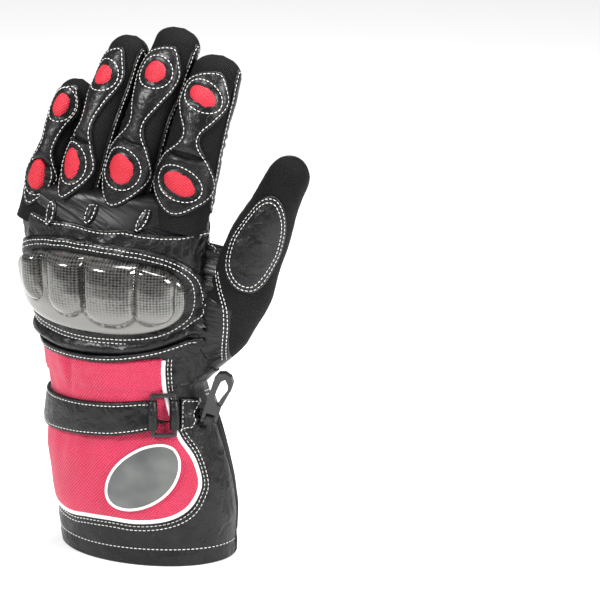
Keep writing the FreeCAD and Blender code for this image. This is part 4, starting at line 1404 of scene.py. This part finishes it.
# ---- palm and hem seams
# Two rows follow the leather round the ball of the thumb and its foot, and one row of lock stitch
# closes the wrist band and the hem.
BRANCH = [(-9, 143), (-7.5, 152), (-4, 158), (4, 164), (8, 174), (10.3, 182)]
BALL = [(5.4, 101), (13, 96), (20.2, 93.5), (29, 94.5), (37, 98)]
for aside in (0, 2.2):
    sew(round_line([(x + aside, z - aside * 0.6) for x, z in on_hand(BRANCH, palm=True)], False, 1.2),
        "wrist")
    sew(round_line([(x, z - aside) for x, z in on_hand(BALL, palm=True)], False, 1.2), "wrist")
sew(np.stack([np.arange(84, 206, 1.2), 90.5 + 0.8 * np.sin(np.arange(84, 206, 1.2) / 15)], -1), "wrist")
sew(np.stack([np.arange(76, 215, 1.2), 14 + 0.6 * np.sin(np.arange(76, 215, 1.2) / 20)], -1), "cuff")
sew(np.stack([np.arange(-70, 72, 1.2), 9.5 + 0.4 * np.sin(np.arange(-70, 72, 1.2) / 17)], -1), "cuff")

# ---- index finger's palm patch
# A second layer of leather where the hand grips, sewn with two rows. It is made in two leaves that
# meet in the fold at the knuckle, so that the finger can bend.
INDEX_PATCH = [(14.2, 160.5), (13, 176), (15.4, 188), (17, 197), (34, 197), (34, 188), (26, 174), (19, 164)]
index_line = round_line(on_hand(INDEX_PATCH, palm=True), True, 1.2)
index_leaf = piece_on_hand("index_palm_leaf", index_line, leather, "hand", [], "leather_black", 0.4,
    thick=1.1, seams=(1.8, 4.0),
              height=lambda u, s, gap: 0.5 * (1 - np.exp(-gap / 5)) + 0.25 * waves(u, s, 9, 63))
for away in (1.8, 4.0):
    sew(inset(turning_left(index_line), away), "hand", skin_of(index_leaf), closed=True)
top_form = forms["index"]
under_finger = math.pi * top_form.radius
# width from the palm's middle, length
PATCH_SHAPE = [(3, 0), (3, 14), (-2, 25), (-9, 25), (-14, 16), (-14, 0)]
finger_line = round_line([(under_finger + across, along) for across, along in PATCH_SHAPE], True, 1.2)
finger_leaf = lay("index_finger_leaf", top_form, finger_line, leather, 1.0, seams=(1.8, 4.0), spacing=1.6)
with_finger(finger_leaf, "index", "lower")
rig.slot(finger_leaf, "leather_black")
for away in (1.8, 4.0):
    seam_lines.append((top_form, skin_of(finger_leaf), inset(turning_left(finger_line), away)[2:-2], SUNK,
        ("index", "lower")))

# ---- thumb-side seams
# One row beside the back's raised edge, and two rows where the leather meets the thumb's cloth. The
# skin turns sharply there, so those two are laid straight back on it.
RIDGE = [(37.5, 190), (35.8, 160), (37.4, 146), (39.6, 126), (40.5, 112)]
ridge_line = round_line(on_hand(RIDGE), False, 1.2)
THUMB_SEAM = [(45.5, 172), (48.5, 164), (52.0, 154), (52.6, 144), (51.6, 134), (49, 120)]
square_on = []  # lines that are laid straight back on the skin, as body and points
for aside in (0.8, 2.8):
    run = []
    for x, z in even_line(np.array(round_line(THUMB_SEAM, False, 1.2)) - (aside, 0), False, 0.9):
        spot, out, _, _ = hand_skin.ray_cast(Vector((x, -90, z)), Vector((0, 1, 0)))
        if spot is not None:
            run.append(np.array(spot) + SUNK * np.array(out))
    square_on.append(("wrist", np.array(run)))
sew([(u + 7, z) for u, z in ridge_line], "wrist")

# ---- lining
# Brushed fleece over wadding, loose inside the cuff and hand.
fleece_nodes = lambda wire, flat: {
    "Base Color": wire.node("TexNoise", {}, {"Vector": flat, "Scale": 0.9, "Detail": 5.0}).mix(grey(0.02),
    grey(0.07)),
    "Roughness": 0.95, "Bump": (wire.node("TexNoise", {}, {"Vector": flat, "Scale": 1.1, "Detail": 6.0}),
    0.0006)}
fleece = finish("fleece", fleece_nodes, Sheen_Weight=0.4)
for name, s0, s1, node, carried_by in (("cuff_fleece", 1.5, 88, "cuff_lining", "cuff"),
        ("hand_fleece", 88, 198, "hand_lining", "wrist")):
    rows, columns = int((s1 - s0) / 3), 96
    grid_s, grid_u = np.meshgrid(np.linspace(s0, s1, rows), np.linspace(-math.pi, math.pi, columns,
        endpoint=False) * ROUND, indexing="ij")
    u, s = grid_u.ravel(), grid_s.ravel()
    quilt = 0.5 * waves(u, s, 9, 71)
    outer_side, _ = hand.place(u, s, -2.0 + 0 * u)
    inner_side, _ = hand_plain.place(u, s, -4.6 + quilt - 0.6)
    faces, count = [], rows * columns
    for i in range(rows - 1):
        for j in range(columns):
            k = (j + 1) % columns
            quad = (i * columns + j, i * columns + k, (i + 1) * columns + k, (i + 1) * columns + j)
            faces += [quad, tuple(q + count for q in quad[::-1])]
    last = (rows - 1) * columns
    for j in range(columns):
        k = (j + 1) % columns
        faces += [(k, j, j + count, k + count), (last + j, last + k, last + k + count, last + j + count)]
    flat = np.stack([u, s], -1)
    piece = mesh_object(name, np.vstack([outer_side, inner_side]), faces, np.vstack([flat, flat]), fleece)
    carry(piece, carried_by)
    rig.replaces(piece, node)
    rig.slot(piece, "lining")
    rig.padded(piece, 0.4)

# ---- stitches
# White bonded thread, one stitch at a time, along every sewn line. A small node tree cuts each line
# into even stitches and lays a rounded stitch on each.


def stitch_tree(pitch, length, radius, material):
    """Geometry Nodes that turn lines into rows of stitches."""
    tree = bpy.data.node_groups.new("stitch_rows", "GeometryNodeTree")
    tree.interface.new_socket("Geometry", in_out="INPUT", socket_type="NodeSocketGeometry")
    for label, value in (("Pitch", pitch), ("Length", length), ("Radius", radius)):
        tree.interface.new_socket(label, in_out="INPUT", socket_type="NodeSocketFloat").default_value = value
    tree.interface.new_socket("Geometry", in_out="OUTPUT", socket_type="NodeSocketGeometry")
    add = lambda kind: tree.nodes.new(kind)
    join = tree.links.new
    source, result = add("NodeGroupInput"), add("NodeGroupOutput")
    curve, cut, place = add("GeometryNodeMeshToCurve"), add("GeometryNodeResampleCurve"), add(
        "GeometryNodeInstanceOnPoints")
    cut.mode = "LENGTH"
    join(source.outputs["Geometry"], curve.inputs["Mesh"])
    join(curve.outputs["Curve"], cut.inputs["Curve"])
    join(source.outputs["Pitch"], cut.inputs["Length"])
    ball, shape, size = add("GeometryNodeMeshUVSphere"), add("GeometryNodeTransform"), add(
        "ShaderNodeCombineXYZ")
    ball.inputs["Segments"].default_value = 6
    ball.inputs["Rings"].default_value = 4
    ball.inputs["Radius"].default_value = 1.0
    join(source.outputs["Radius"], size.inputs[0])
    join(source.outputs["Radius"], size.inputs[1])
    join(source.outputs["Length"], size.inputs[2])
    join(ball.outputs["Mesh"], shape.inputs["Geometry"])
    join(size.outputs[0], shape.inputs["Scale"])
    tangent, align = add("GeometryNodeInputTangent"), add("FunctionNodeAlignEulerToVector")
    align.axis = "Z"
    join(tangent.outputs[0], align.inputs["Vector"])
    join(cut.outputs["Curve"], place.inputs["Points"])
    join(shape.outputs["Geometry"], place.inputs["Instance"])
    join(align.outputs[0], place.inputs["Rotation"])
    real, paint = add("GeometryNodeRealizeInstances"), add("GeometryNodeSetMaterial")
    paint.inputs["Material"].default_value = material
    join(place.outputs["Instances"], real.inputs["Geometry"])
    join(real.outputs["Geometry"], paint.inputs["Geometry"])
    join(paint.outputs["Geometry"], result.inputs["Geometry"])
    return tree


stitching = stitch_tree(0.0025, 0.00095, 0.00027, thread)


carried = {}
for form, skin, line, lift, how in seam_lines:
    if len(line) < 3:
        continue
    line = even_line(line, False, 0.9)
    u, s = line.T
    points, _ = skin_at(form, skin, u, s, np.full(len(u), float(lift)))
    carried.setdefault(how, []).append(points)
for how, points in square_on:
    carried.setdefault(how, []).append(points)
for how, runs in carried.items():
    label = "stitches_" + ("_".join(how) if isinstance(how, tuple) else how)
    mesh = bpy.data.meshes.new(label)
    edges, base = [], 0
    for run in runs:
        edges += [(base + i, base + i + 1) for i in range(len(run) - 1)]
        base += len(run)
    mesh.from_pydata((np.vstack(runs) / 1000).tolist(), edges, [])
    row = bpy.data.objects.new(label, mesh)
    bpy.context.scene.collection.objects.link(row)
    modifier = row.modifiers.new("stitches", "NODES")
    modifier.node_group = stitching
    plain_mesh(row)
    row.data.shade_smooth()
    carry(row, how)

box_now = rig.bounds()
sizes = {"cad": [list(c) for c in cad_bounds], "visual": [list(c) for c in box_now]}
json.dump(sizes, open("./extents.json", "w"))
